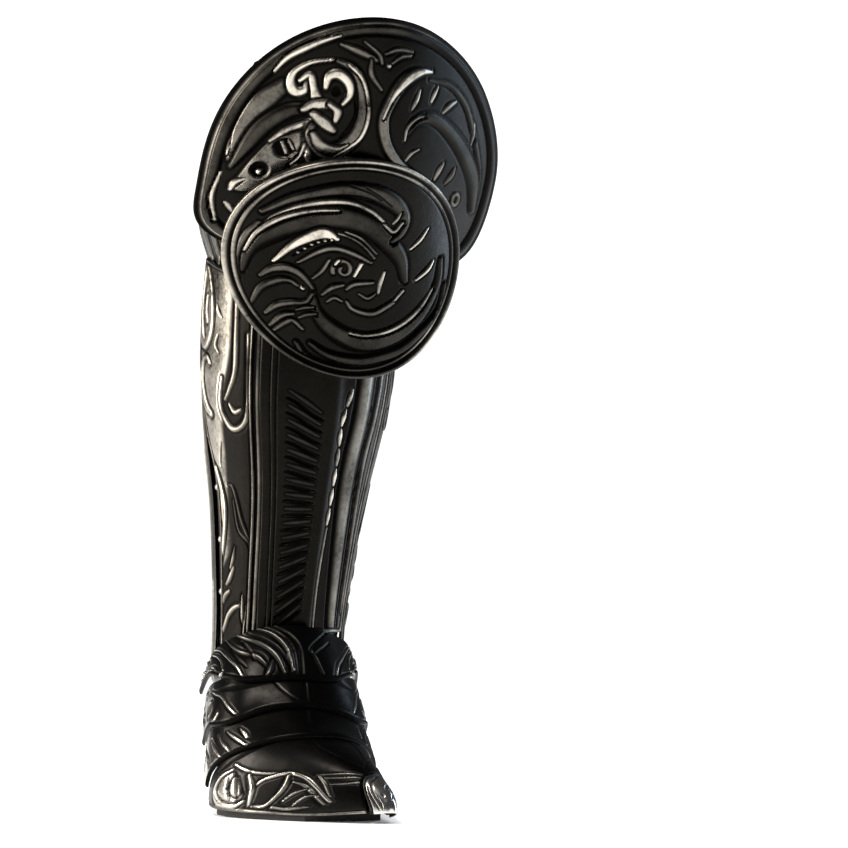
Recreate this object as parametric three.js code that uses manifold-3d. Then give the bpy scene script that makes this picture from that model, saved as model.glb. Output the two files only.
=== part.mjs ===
// Greave and sabaton for a right leg: blackened, engraved plate over a leather boot.
// Millimetres. +X is the wearer's left (the inner side), -Y is forward, +Z is up.
// The origin is under the sole, straight below the ankle's axis.
import * as THREE from 'three';
import Module from 'manifold-3d';

const wasm = await Module();
wasm.setup();

const { PI, cos, sin, abs, sign, max, min, sqrt, exp } = Math;
const radians = THREE.MathUtils.degToRad;
const mix = THREE.MathUtils.lerp;

// Driving dimensions: the leg. Each station is [height, size].
const LEG_FRONT = [[60, 57], [150, 59], [184, 63], [265, 75], [350, 88], [408, 93], [560, 95]];
const LEG_BACK = [[60, 54], [150, 55], [184, 58], [265, 75], [350, 92], [408, 98], [560, 94]];
const LEG_HALF = [[60, 50], [150, 52], [184, 54], [265, 62], [350, 77], [408, 80], [560, 78]];
const LEG_LINE = [[60, -7], [160, -4], [315, 8], [460, 15.5], [680, 24]];
const GAP = 0.4;

// The leather boot.
const LEATHER = 3;
const SOLE_THICKNESS = 7;
const SHAFT_BOTTOM = 93;
const SHAFT_TOP = 442;
const SHAFT_LIFT = -2;

// The leg plates. Angles run from the front of the leg, in radians.
const STEEL = 2.2;
const PLATE_LIFT = 4;
const SHIN_EDGE = 0.82;
const SHIN_BOTTOM = 150;
const SHIN_TOP = 460;
const KEEL_HEIGHT = 5;
const KEEL_WIDTH = 0.11;
const SHIN_CROWD = 1.35;
const SIDE_FRONT = 0.86;
const SIDE_BOTTOM = 92;
const SIDE_TOP = 473;
const SIDE_TOP_DROP = 21;
const SIDE_REAR = [
  [92, 1.45], [200, 1.47], [244, 1.49], [293, 1.56], [325, 1.66], [418, 1.76], [473, 1.68],
];
const CALF_TOP = 440;
const CALF_BOTTOM = 99;
const CALF_SPREAD = [
  [99, 0.45], [103, 0.82], [112, 1.05], [130, 1.17], [147, 1.22], [180, 1.27],
  [212, 1.27], [272, 1.22], [329, 1.05], [385, 0.9], [442, 0.82],
];
const TONGUE_FLARE = 5;
const TONGUE_FADE = 20;
const CALF_CROWD = 1.3;

// The knee.
const COP_BOTTOM = 447;
const COP_TOP = 551;
const COP_SWELL_FROM = 474;
const COP_SWELL = 11;
const COP_SEAT = -0.2;
const COP_ROLL = 0.86;
const COP_SPREAD = 1.86;
const COP_BACK_DROP = 46;
const COP_DROP_POWER = 3;
const FAN_CENTRE = 537;
const FAN_HALF = 136;
const FAN_RISE = 135;
const FAN_FALL = { outer: 60, inner: 84 };
const FAN_SIDEWAYS = [[450, 25], [537, 25], [610, 18], [672, 8]];
const FAN_POWER = { above: 2.1, below: 3.5 };
const FAN_LINE = [[442, 100], [478, 126], [491, 135], [550, 176], [611, 197], [672, 209]];
const FAN_WRAP = 82;
const FAN_RIDGE = 0.35;
const FAN_THICKNESS = 3;
const DISC_CENTRE = { forward: 149, height: 460 };
const DISC_HALF = 108.5;
const DISC_SHEAR = 0.13;
const DISC_RISE = 105;
const DISC_LEAN = radians(21.5);
const DISC_WRAP = 43;
const DISC_THICKNESS = 5;
const RIM_FROM = 0.88;
const RIM_HEIGHT = 2.5;
const MOUNT_REACH = 45;
const FAN_BRACKET = { half: 20, forward: [93, 150], height: [491, 523] };
const DISC_BRACKET = { half: 24, forward: [86, 160], height: [420, 454] };
const CUT_DEPTH = 60;

// The foot, measured along its own line, which turns outward from the leg's.
const FOOT_TURN = radians(10);
const FOOT_LINE = [
  [-60, -4], [0, -6], [60, -10.5], [110, -14.5], [150, -11], [190, 4.5], [221, 22], [254, 47],
];
const FOOT_HALF = [
  [0, 65], [60, 67.5], [110, 71.5], [135, 71], [165, 63], [195, 48], [221, 32], [240, 19], [254, 5],
];
const FOOT_TOP = [
  [0, 205], [40, 187], [60, 172], [74, 158], [90, 143], [105, 129], [119, 112],
  [134, 95], [158, 78], [194, 62], [221, 48], [241, 33], [254, 17],
];
const FOOT_EDGE = [[0, 2], [200, 2], [221, 3], [254, 9]];
const ARCH_POWER = 0.8;
const LAME = 1.8;
const LAME_STEP = 3;
const VAMP_HALF = [[10, 42], [60, 55], [110, 63], [135, 62], [165, 54], [195, 40], [219, 24]];
const VAMP_TOP = [
  [10, 165], [57, 142], [74, 134], [90, 124], [105, 112], [119, 96],
  [134, 82], [158, 66], [194, 50], [219, 35],
];
const VAMP_FROM = 10.6;
const VAMP_TO = 207;
const ANKLE = { heights: [91, 190], lift: 6.2, depth: 45 };
const ANKLE_BLOCK = { half: 14, forward: [-60, 30], height: [91, 190] };
const TIP_FROM = 232;
const TIP_SLANT = 14;
const TIP_TO = 253.5;
const TIP_SHARES = [0, 0.22, 0.44, 0.65, 0.84, 1];
const TIP_ANGLES = [-90, -62, -40, -20, 0, 20, 40, 62, 90];
const SOLE_PLACES = [30, 60, 90, 115, 140, 165, 190, VAMP_TO];
const SOLE_INSET = { heel: 1.8, back: 1, foot: 5 };

// The heel.
const HEEL_BACK = 62;
const HEEL_HALF = 44;
const HEEL_SIDE = 60;
const HEEL_ROUND = 0.5;
const HEEL_TAPER = 0.12;
const HEEL_HEIGHT = 92;
const COUNTER_EDGE = [[-62, 91], [-48, 84], [-29, 60], [4, 33], [39, 16], [60, 9]];
const HEEL_WIDEN = 13;
const QUARTER_SPREAD = 0.58;
const COUNTER_SPREAD = 0.97;

// Studs on the leather and rivets on the instep.
const STUD_PROFILE = [[0, 0], [1, 0], [1, 0.3], [0.7, 0.82], [0, 1]];
const STUD_RADIUS = 4.5;
const STUD_HEIGHT = 3.2;
const STUD_FIRST = 185;
const STUD_PITCH = 45;
const STUDS_A_SIDE = 5;
const RIVET_RADIUS = 3;
const RIVET_HEIGHT = 2;
const RIVETS = { front: [92, radians(42)], rear: [28, radians(60.5)] };

const BLACK_STEEL = { color: 0x24231f, roughness: 0.42, metalness: 0.9 };
const DARK_STEEL = { color: 0x1b1b1c, roughness: 0.38, metalness: 0.9 };
const BRIGHT_STEEL = { color: 0x9a9990, roughness: 0.3, metalness: 1.0 };
const BLACK_LEATHER = { color: 0x0e0d0d, roughness: 0.7, metalness: 0.0 };
const RUBBER = { color: 0x0b0b0b, roughness: 0.85, metalness: 0.0 };

// A smooth curve through stations: cubic pieces whose slopes are those of the
// chords on either side.
function along(stations, where) {
  const last = stations.length - 1;
  const x = min(max(where, stations[0][0]), stations[last][0]);
  let i = 0;
  while (i < last - 1 && x > stations[i + 1][0]) i += 1;
  const chord = (a, b) => (stations[b][1] - stations[a][1]) / (stations[b][0] - stations[a][0]);
  const [from, low] = stations[i];
  const [to, high] = stations[i + 1];
  const span = to - from;
  const start = chord(max(i - 1, 0), i + 1) * span;
  const end = chord(i, min(i + 2, last)) * span;
  const t = (x - from) / span;
  const turn = 2 * (low - high) + start + end;
  const bend = 3 * (high - low) - 2 * start - end;
  return ((turn * t + bend) * t + start) * t + low;
}

const leaned = (height) => along(LEG_LINE, height);
const smooth = (t) => {
  const s = min(max(t, 0), 1);
  return s * s * (3 - 2 * s);
};

// A closed solid from corners and triangles, turned so that its faces point out.
function solid(corners, triangles) {
  const [a, b, c] = [new THREE.Vector3(), new THREE.Vector3(), new THREE.Vector3()];
  let volume = 0;
  for (let i = 0; i < triangles.length; i += 3) {
    a.fromArray(corners, triangles[i] * 3);
    b.fromArray(corners, triangles[i + 1] * 3);
    c.fromArray(corners, triangles[i + 2] * 3);
    volume += a.dot(b.cross(c));
  }
  if (volume < 0) triangles.reverse();
  return new wasm.Manifold(new wasm.Mesh({
    numProp: 3,
    vertProperties: new Float32Array(corners),
    triVerts: new Uint32Array(triangles),
  }));
}

// A wall between two depths of a surface point(u, v, depth), with u and v from 0 to 1.
function wall(point, columns, rows, from, to, round = false) {
  const across = round ? columns : columns + 1;
  const corners = [];
  for (const depth of [from, to]) {
    for (let j = 0; j <= rows; j += 1) {
      for (let i = 0; i < across; i += 1) {
        corners.push(...point(i / columns, j / rows, depth).toArray());
      }
    }
  }
  const at = (layer, i, j) => (layer * (rows + 1) + j) * across + (i % across);
  const triangles = [];
  const quad = (p, q, r, s) => triangles.push(p, q, r, p, r, s);
  for (let i = 0; i < columns; i += 1) {
    for (let j = 0; j < rows; j += 1) {
      quad(at(0, i, j), at(0, i + 1, j), at(0, i + 1, j + 1), at(0, i, j + 1));
      quad(at(1, i, j + 1), at(1, i + 1, j + 1), at(1, i + 1, j), at(1, i, j));
    }
    quad(at(1, i, 0), at(1, i + 1, 0), at(0, i + 1, 0), at(0, i, 0));
    quad(at(0, i, rows), at(0, i + 1, rows), at(1, i + 1, rows), at(1, i, rows));
  }
  for (let j = 0; j < rows && !round; j += 1) {
    quad(at(0, 0, j), at(0, 0, j + 1), at(1, 0, j + 1), at(1, 0, j));
    quad(at(1, columns, j), at(1, columns, j + 1), at(0, columns, j + 1), at(0, columns, j));
  }
  return solid(corners, triangles);
}

// A round wall between two depths of point(reach, turn, depth), reach from 0 at the middle.
function dish(point, rings, spokes, from, to) {
  const corners = [];
  for (const depth of [from, to]) {
    corners.push(...point(0, 0, depth).toArray());
    for (let j = 1; j <= rings; j += 1) {
      for (let i = 0; i < spokes; i += 1) {
        corners.push(...point(j / rings, (2 * PI * i) / spokes, depth).toArray());
      }
    }
  }
  const layer = 1 + rings * spokes;
  const at = (side, j, i) => side * layer + (j === 0 ? 0 : 1 + (j - 1) * spokes + (i % spokes));
  const triangles = [];
  for (let i = 0; i < spokes; i += 1) {
    triangles.push(at(0, 0, 0), at(0, 1, i), at(0, 1, i + 1));
    triangles.push(at(1, 0, 0), at(1, 1, i + 1), at(1, 1, i));
    for (let j = 1; j < rings; j += 1) {
      triangles.push(at(0, j, i), at(0, j + 1, i), at(0, j + 1, i + 1));
      triangles.push(at(0, j, i), at(0, j + 1, i + 1), at(0, j, i + 1));
      triangles.push(at(1, j, i), at(1, j + 1, i + 1), at(1, j + 1, i));
      triangles.push(at(1, j, i), at(1, j, i + 1), at(1, j + 1, i + 1));
    }
    triangles.push(at(0, rings, i), at(1, rings, i), at(1, rings, i + 1));
    triangles.push(at(0, rings, i), at(1, rings, i + 1), at(0, rings, i + 1));
  }
  return solid(corners, triangles);
}

// A solid through a row of closed rings, with flat ends.
function loft(rings) {
  const count = rings[0].length;
  const corners = rings.flat().flatMap((corner) => corner.toArray());
  const triangles = [];
  for (let j = 0; j + 1 < rings.length; j += 1) {
    for (let i = 0; i < count; i += 1) {
      const next = (i + 1) % count;
      const [a, b] = [j * count + i, j * count + next];
      triangles.push(a, b, b + count, a, b + count, a + count);
    }
  }
  const end = (rings.length - 1) * count;
  for (let i = 1; i + 1 < count; i += 1) {
    triangles.push(0, i + 1, i, end, end + i, end + i + 1);
  }
  return solid(corners, triangles);
}

// A box standing on the leg's axis, across the front of the leg.
function frontBlock({ half, forward, height }) {
  const ring = (z) => {
    const x = leaned((height[0] + height[1]) / 2);
    return [
      new THREE.Vector3(x - half, -forward[0], z), new THREE.Vector3(x + half, -forward[0], z),
      new THREE.Vector3(x + half, -forward[1], z), new THREE.Vector3(x - half, -forward[1], z),
    ];
  };
  return loft(height.map(ring));
}

// A point on the leg: two half ellipses meeting at the sides, raised by lift.
// turn is 0 at the front and positive toward the outer side.
function legPoint(turn, height, lift) {
  const reach = cos(turn) >= 0 ? along(LEG_FRONT, height) : along(LEG_BACK, height);
  const x = leaned(height) - (along(LEG_HALF, height) + lift) * sin(turn);
  return new THREE.Vector3(x, -(reach + lift) * cos(turn), height);
}

// A point on the foot: an arch across the foot at a place along it, raised by lift.
// angle is 0 on top and positive toward the outer side.
function footPoint(place, angle, lift, half = FOOT_HALF, top = FOOT_TOP, edge = FOOT_EDGE) {
  const foot = along(edge, place);
  const side = -sign(angle) * abs(sin(angle)) ** ARCH_POWER;
  const rise = abs(cos(angle)) ** ARCH_POWER;
  const x = along(FOOT_LINE, place) + (along(half, place) + lift) * side;
  const z = foot + (along(top, place) + lift - foot) * rise;
  return new THREE.Vector3(x, -place, z).applyAxisAngle(new THREE.Vector3(0, 0, 1), -FOOT_TURN);
}

// A point on the heel's wall: s runs from the outer side round the back to the inner side.
function heelPoint(s, height, lift) {
  const round = min(abs(s) / HEEL_ROUND, 1) * (PI / 2);
  const straight = max(abs(s) - HEEL_ROUND, 0) / HEEL_ROUND;
  const taper = 1 - HEEL_TAPER * (height / HEEL_HEIGHT) ** 2;
  const y = (HEEL_BACK * taper + lift) * cos(round) - HEEL_SIDE * straight;
  const half = HEEL_HALF * taper + lift + HEEL_WIDEN * straight;
  const x = along(FOOT_LINE, -y) + sign(s) * half * sin(round);
  return new THREE.Vector3(x, y, height).applyAxisAngle(new THREE.Vector3(0, 0, 1), -FOOT_TURN);
}

// Shin plate: a keel runs down its middle.
const shinLift = (turn) => PLATE_LIFT + KEEL_HEIGHT * exp(-((turn / KEEL_WIDTH) ** 2));
function shinPoint(u, v, depth) {
  const across = 2 * u - 1;
  const turn = SHIN_EDGE * sign(across) * abs(across) ** SHIN_CROWD;
  return legPoint(turn, mix(SHIN_BOTTOM, SHIN_TOP, v), shinLift(turn) - depth);
}
const shinWall = (from, to) => wall(shinPoint, 16, 12, from, to);

// Side plates, one each side, with a top edge that falls toward the front.
function sidePlate(side) {
  const point = (u, v, depth) => {
    const rear = along(SIDE_REAR, mix(SIDE_BOTTOM, SIDE_TOP, v));
    const turn = mix(SIDE_FRONT, rear, u);
    const top = SIDE_TOP - SIDE_TOP_DROP * (1 - u);
    return legPoint(side * turn, mix(SIDE_BOTTOM, top, v), PLATE_LIFT - depth);
  };
  return wall(point, 8, 14, 0, STEEL);
}

// Calf plate: a long tongue that flares at its rounded lower end.
function calfPlate() {
  const point = (u, v, depth) => {
    const height = mix(CALF_BOTTOM, CALF_TOP, v ** CALF_CROWD);
    const turn = PI + (2 * u - 1) * along(CALF_SPREAD, height);
    const flare = TONGUE_FLARE * exp(-(height - CALF_BOTTOM) / TONGUE_FADE);
    return legPoint(turn, height, PLATE_LIFT + flare - depth);
  };
  return wall(point, 14, 14, 0, STEEL);
}

// Knee cop: swells over the knee and is open behind it.
function copLift(height) {
  const t = (height - COP_SWELL_FROM) / (COP_TOP - COP_SWELL_FROM);
  return COP_SEAT + COP_SWELL * max(sin(PI * max(t, 0) * COP_ROLL), 0);
}
function copPoint(u, v, depth) {
  const turn = COP_SPREAD * (2 * u - 1);
  const top = COP_TOP - COP_BACK_DROP * abs(2 * u - 1) ** COP_DROP_POWER;
  const height = mix(COP_BOTTOM, top, v);
  return legPoint(turn, height, copLift(height) - depth);
}
const copWall = (from, to) => wall(copPoint, 18, 9, from, to);

// Knee fan: a broad horseshoe that wraps round the knee from a soft crest.
function fanSurface(x, height) {
  const across = x / FAN_HALF;
  const crest = mix(across ** 2, sqrt(across ** 2 + 0.01) - 0.1, FAN_RIDGE);
  const ahead = along(FAN_LINE, height) - FAN_WRAP * crest;
  return new THREE.Vector3(along(FAN_SIDEWAYS, height) + x, -ahead, height);
}
function fanPoint(reach, turn, depth) {
  const squareness = 2 / (sin(turn) >= 0 ? FAN_POWER.above : FAN_POWER.below);
  const x = FAN_HALF * reach * sign(cos(turn)) * abs(cos(turn)) ** squareness;
  const fall = mix(FAN_FALL.outer, FAN_FALL.inner, smooth((1 + cos(turn)) / 2));
  const size = sin(turn) >= 0 ? FAN_RISE : -fall;
  const height = FAN_CENTRE + reach * size * abs(sin(turn)) ** squareness;
  const step = 0.5;
  const acrossX = fanSurface(x + step, height).sub(fanSurface(x - step, height));
  const upward = fanSurface(x, height + step).sub(fanSurface(x, height - step));
  const outward = acrossX.cross(upward).normalize();
  const border = RIM_HEIGHT * smooth((reach - RIM_FROM) / (1 - RIM_FROM));
  return fanSurface(x, height).addScaledVector(outward, border - depth);
}
const fanWall = (from, to) => dish(fanPoint, 8, 32, from, to);

// Knee disc: round, leaning forward at the top, bent round the knee like a barrel stave.
function discPoint(reach, turn, depth) {
  const across = DISC_HALF * reach * cos(turn);
  const up = DISC_RISE * reach * sin(turn);
  const border = RIM_HEIGHT * smooth((reach - RIM_FROM) / (1 - RIM_FROM));
  const out = border - depth - DISC_WRAP * (across / DISC_HALF) ** 2;
  const forward = DISC_CENTRE.forward + up * sin(DISC_LEAN) + out * cos(DISC_LEAN);
  const height = DISC_CENTRE.height + up * cos(DISC_LEAN) - out * sin(DISC_LEAN);
  const sideways = leaned(DISC_CENTRE.height) - DISC_SHEAR * up;
  return new THREE.Vector3(sideways + across, -forward, height);
}
const discWall = (from, to) => dish(discPoint, 7, 36, from, to);

// Hidden brackets: one carries the fan on the cop, one carries the disc on the shin plate.
function fanBracket() {
  const fan = fanWall(-MOUNT_REACH, FAN_THICKNESS + GAP);
  return frontBlock(FAN_BRACKET).subtract(copWall(-GAP, CUT_DEPTH)).subtract(fan);
}
function discBracket() {
  const disc = discWall(-MOUNT_REACH, DISC_THICKNESS + GAP);
  return frontBlock(DISC_BRACKET).subtract(shinWall(-GAP, CUT_DEPTH)).subtract(disc);
}

// Sabaton plates: each lies between two edges that run straight over the top of
// the foot and sweep back down its sides.
const edge = (top, end, angle, sweep) => (u) => ({
  place: top - (top - end) * abs(u) ** sweep,
  angle: radians(angle) * u,
});
const INSTEP_REAR = edge(81, 4, 66, 2.8);
const INSTEP_FRONT = edge(123, 2, 68.5, 3);
const LAME_1_REAR = edge(114, 30, 66.5, 3);
const LAME_1_FRONT = edge(142, 48, 78, 4);
const LAME_2_REAR = edge(133, 41, 76, 4);
const LAME_2_FRONT = edge(178, 112, 83.5, 2.2);
const TOE_REAR = edge(169, 105, 88.8, 2.2);
const tipStart = (angle) => TIP_FROM + TIP_SLANT * sin(angle);
const TOE_FRONT = (u) => {
  const angle = radians(88.8) * u;
  return { place: tipStart(angle) - 4 * GAP, angle };
};
const lameLift = (order) => LAME_STEP * (2.5 - order);

function lame(rear, front, order, rows) {
  const point = (u, v, depth) => {
    const [back, fore] = [rear(2 * u - 1), front(2 * u - 1)];
    const place = mix(back.place, fore.place, v);
    return footPoint(place, mix(back.angle, fore.angle, v), lameLift(order) - depth);
  };
  return wall(point, 20, rows, 0, LAME);
}

// Toe tip: a solid point that reaches further back on the inner side.
function toeTip() {
  const ring = (share) => TIP_ANGLES.map(radians).map((angle) => {
    return footPoint(mix(tipStart(angle), TIP_TO, share), angle, lameLift(3));
  });
  return loft(TIP_SHARES.map(ring));
}

// Leather boot: a shaft round the leg, a quarter round the heel and a vamp over the foot.
function bootShaft() {
  const point = (u, v, depth) => {
    const height = mix(SHAFT_BOTTOM, SHAFT_TOP, v);
    return legPoint(2 * PI * u, height, SHAFT_LIFT - depth);
  };
  return wall(point, 24, 9, 0, LEATHER, true);
}
function bootQuarter() {
  const point = (u, v, depth) => {
    const height = mix(SOLE_THICKNESS + GAP, HEEL_HEIGHT, v);
    return heelPoint(QUARTER_SPREAD * (2 * u - 1), height, -LEATHER - depth);
  };
  return wall(point, 14, 5, 0, LEATHER);
}
function bootVamp() {
  const seat = [[0, SOLE_THICKNESS + GAP], [VAMP_TO, SOLE_THICKNESS + GAP]];
  const point = (u, v, depth) => {
    const place = mix(VAMP_FROM, VAMP_TO, v);
    return footPoint(place, PI * (u - 0.5), -depth, VAMP_HALF, VAMP_TOP, seat);
  };
  const ankle = (u, v, depth) => legPoint(2 * PI * u, mix(...ANKLE.heights, v), ANKLE.lift - depth);
  return wall(point, 16, 12, 0, LEATHER).subtract(wall(ankle, 24, 3, 0, ANKLE.depth, true))
    .subtract(frontBlock(ANKLE_BLOCK));
}
function heelCounter() {
  const point = (u, v, depth) => {
    const s = 2 * u - 1;
    const straight = max(abs(s) - HEEL_ROUND, 0) / HEEL_ROUND;
    const round = min(abs(s) / HEEL_ROUND, 1) * (PI / 2);
    const place = HEEL_SIDE * straight - HEEL_BACK * cos(round);
    const height = mix(SOLE_THICKNESS + GAP, along(COUNTER_EDGE, place), v);
    return heelPoint(s * COUNTER_SPREAD, height, -GAP - depth + LAME);
  };
  return wall(point, 20, 5, 0, LAME);
}

// Sole: one flat outline, a little inside the plates.
function sole() {
  const outline = [];
  const middle = new THREE.Vector2();
  const turned = (x, place) => new THREE.Vector2(x, -place).rotateAround(middle, -FOOT_TURN);
  const steps = 14;
  for (let i = 0; i <= steps; i += 1) {
    const angle = PI * (i / steps);
    const [half, back] = [HEEL_HALF - SOLE_INSET.heel, HEEL_BACK - SOLE_INSET.back];
    outline.push(turned(-half * cos(angle), -back * sin(angle)));
  }
  const side = (place) => min(along(VAMP_HALF, place), along(FOOT_HALF, place) - SOLE_INSET.foot);
  for (const place of SOLE_PLACES) outline.push(turned(along(FOOT_LINE, place) + side(place), place));
  for (const place of [...SOLE_PLACES].reverse()) {
    outline.push(turned(along(FOOT_LINE, place) - side(place), place));
  }
  return loft([0, SOLE_THICKNESS].map((z) => outline.map((p) => new THREE.Vector3(p.x, p.y, z))));
}

// A round-headed stud or rivet, standing on a point along its outward line.
function stud(point, outward, radius, height) {
  const profile = STUD_PROFILE.map(([r, y]) => new THREE.Vector2(radius * r, height * y));
  const shape = new THREE.LatheGeometry(profile, 10);
  const turn = new THREE.Quaternion().setFromUnitVectors(new THREE.Vector3(0, 1, 0), outward);
  shape.applyQuaternion(turn).translate(point.x, point.y, point.z);
  return shape;
}

// The unit vector out of a surface of two numbers at a place on it.
function outwardAt(surface, a, b, stepA, stepB) {
  const first = surface(a + stepA, b).sub(surface(a - stepA, b));
  const second = surface(a, b + stepB).sub(surface(a, b - stepB));
  return first.cross(second).normalize();
}

function legStud(side, index) {
  const height = STUD_FIRST + STUD_PITCH * index;
  const turn = (along(SIDE_REAR, height) + PI - along(CALF_SPREAD, height)) / 2;
  const surface = (angle, z) => legPoint(angle, z, SHAFT_LIFT);
  const outward = outwardAt(surface, side * turn, height, -0.02, 2);
  const foot = surface(side * turn, height).addScaledVector(outward, GAP);
  return stud(foot, outward, STUD_RADIUS, STUD_HEIGHT);
}

function instepRivet(side, [place, angle]) {
  const surface = (p, a) => footPoint(p, a, lameLift(0));
  const outward = outwardAt(surface, place, side * angle, -2, 0.02);
  if (outward.z < 0) outward.negate();
  const foot = surface(place, side * angle).addScaledVector(outward, GAP);
  return stud(foot, outward, RIVET_RADIUS, RIVET_HEIGHT);
}

const greave = new THREE.Group();

function add(name, shape, look) {
  let geometry = shape;
  if (!shape.isBufferGeometry) {
    const mesh = shape.getMesh();
    geometry = new THREE.BufferGeometry();
    geometry.setAttribute('position', new THREE.BufferAttribute(mesh.vertProperties, 3));
    geometry.setIndex(new THREE.BufferAttribute(mesh.triVerts, 1));
  }
  const piece = new THREE.Mesh(geometry, new THREE.MeshStandardMaterial(look));
  piece.name = name;
  greave.add(piece);
}

const SIDES = { outer: 1, inner: -1 };

add('sole', sole(), RUBBER);
add('boot_vamp', bootVamp(), BLACK_LEATHER);
add('boot_quarter', bootQuarter(), BLACK_LEATHER);
add('boot_shaft', bootShaft(), BLACK_LEATHER);
add('heel_counter', heelCounter(), DARK_STEEL);
add('shin_plate', shinWall(0, STEEL), BLACK_STEEL);
add('calf_plate', calfPlate(), BRIGHT_STEEL);
add('knee_cop', copWall(0, STEEL), DARK_STEEL);
add('knee_fan', fanWall(0, FAN_THICKNESS), BLACK_STEEL);
add('knee_disc', discWall(0, DISC_THICKNESS), BLACK_STEEL);
add('fan_bracket', fanBracket(), DARK_STEEL);
add('disc_bracket', discBracket(), DARK_STEEL);
add('instep_plate', lame(INSTEP_REAR, INSTEP_FRONT, 0, 6), DARK_STEEL);
add('lame_1', lame(LAME_1_REAR, LAME_1_FRONT, 1, 3), DARK_STEEL);
add('lame_2', lame(LAME_2_REAR, LAME_2_FRONT, 2, 3), DARK_STEEL);
add('toe_plate', lame(TOE_REAR, TOE_FRONT, 3, 7), DARK_STEEL);
add('toe_tip', toeTip(), BRIGHT_STEEL);

for (const [name, side] of Object.entries(SIDES)) {
  add(`side_plate_${name}`, sidePlate(side), BLACK_STEEL);
  for (let i = 0; i < STUDS_A_SIDE; i += 1) {
    add(`stud_${name}_${i + 1}`, legStud(side, i), BRIGHT_STEEL);
  }
  add(`rivet_front_${name}`, instepRivet(side, RIVETS.front), BRIGHT_STEEL);
  add(`rivet_rear_${name}`, instepRivet(side, RIVETS.rear), BRIGHT_STEEL);
}

export default greave;
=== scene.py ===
# %% [markdown]
# # A steel greave with its knee guard and sabaton
# This lesson dresses one leg of armour: a black steel greave on a leather boot,
# a round knee guard in front of a tall fan, and a sabaton of overlapping plates.
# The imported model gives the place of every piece. Here each plate gets its real
# surface, with rolled edges, chased scrolls and worn steel, worked out as arrays.

import bpy
import numpy as np
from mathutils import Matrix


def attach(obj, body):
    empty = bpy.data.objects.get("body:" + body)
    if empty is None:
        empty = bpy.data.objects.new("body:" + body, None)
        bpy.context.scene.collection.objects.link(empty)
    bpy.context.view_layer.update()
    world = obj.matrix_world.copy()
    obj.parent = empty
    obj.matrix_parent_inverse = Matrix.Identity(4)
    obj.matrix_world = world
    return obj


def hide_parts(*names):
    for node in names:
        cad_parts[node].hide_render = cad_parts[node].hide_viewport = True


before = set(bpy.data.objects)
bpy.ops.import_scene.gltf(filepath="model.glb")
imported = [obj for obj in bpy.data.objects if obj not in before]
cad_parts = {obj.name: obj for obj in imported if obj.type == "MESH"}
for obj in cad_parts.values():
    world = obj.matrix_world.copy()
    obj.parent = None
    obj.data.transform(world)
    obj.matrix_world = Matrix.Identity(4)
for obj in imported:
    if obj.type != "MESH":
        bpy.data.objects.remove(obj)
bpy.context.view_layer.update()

# %% [markdown]
# The camera comes first, so that every later look is from the same place. It is
# a long lens six metres away at calf height, to the outer side of the leg, which
# keeps the plates nearly free of perspective. It looks a little past the leg.

# %% The camera
LENS, DISTANCE = 293.6, 6.0
AZIMUTH, ELEVATION = np.radians(-20), np.radians(4)
back = np.array([np.sin(AZIMUTH) * np.cos(ELEVATION),
                 -np.cos(AZIMUTH) * np.cos(ELEVATION), np.sin(ELEVATION)])
right = np.array([np.cos(AZIMUTH), np.sin(AZIMUTH), 0])
away = back - 0.0203 * right - 0.0549 * np.cross(back, right)
away /= np.linalg.norm(away)
eye = bpy.data.objects.new("camera", bpy.data.cameras.new("camera"))
bpy.context.scene.collection.objects.link(eye)
bpy.context.scene.camera = eye
eye.data.lens, eye.data.clip_end = LENS, 200
eye.location = DISTANCE * back
eye.rotation_euler = (np.arccos(away[2]), 0, np.arctan2(away[0], -away[1]))
print("camera at", tuple(round(c, 3) for c in eye.location))

# %% [markdown]
# Every plate follows the leg or the foot, so the first tool is a smooth line
# through a few measured stations. All lengths are in millimetres until a mesh
# is made, because a smith thinks of a plate in millimetres.

# %% Smooth lines through stations


def along(stations, where):
    """Value at `where` on a cubic between two stations. At a station the line
    leaves along the chord between the station's neighbours."""
    places, values = np.array(stations, float).T
    where, last = np.clip(where, places[0], places[-1]), len(places) - 1
    at = np.clip(np.searchsorted(places, where) - 1, 0, last - 1)
    before, after = np.maximum(at - 1, 0), np.minimum(at + 2, last)
    span, low, high = places[at + 1] - places[at], values[at], values[at + 1]
    start = (high - values[before]) / (places[at + 1] - places[before]) * span
    end = (values[after] - low) / (places[after] - places[at]) * span
    turn, bend = 2 * (low - high) + start + end, 3 * (high - low) - 2 * start - end
    t = (where - places[at]) / span
    return ((turn * t + bend) * t + start) * t + low


def smooth(t):
    """0 below 0, 1 above 1, and t squared times (3 - 2t) between."""
    t = np.clip(t, 0, 1)
    return t * t * (3 - 2 * t)


def mix(low, high, t):
    """The value a share t of the way from low to high."""
    return low + (high - low) * t


def grid(rows, columns):
    """Two arrays that run evenly from 0 to 1, down the rows and across the columns."""
    return np.meshgrid(np.linspace(0, 1, rows), np.linspace(0, 1, columns), indexing="ij")


# %% [markdown]
# The leg is an egg-shaped tube that leans a little. A place on it is a turn
# round the leg, 0 in front and growing towards the outer side, and a height.
# The foot is a half tube along a curved line, turned ten degrees outwards.

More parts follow.
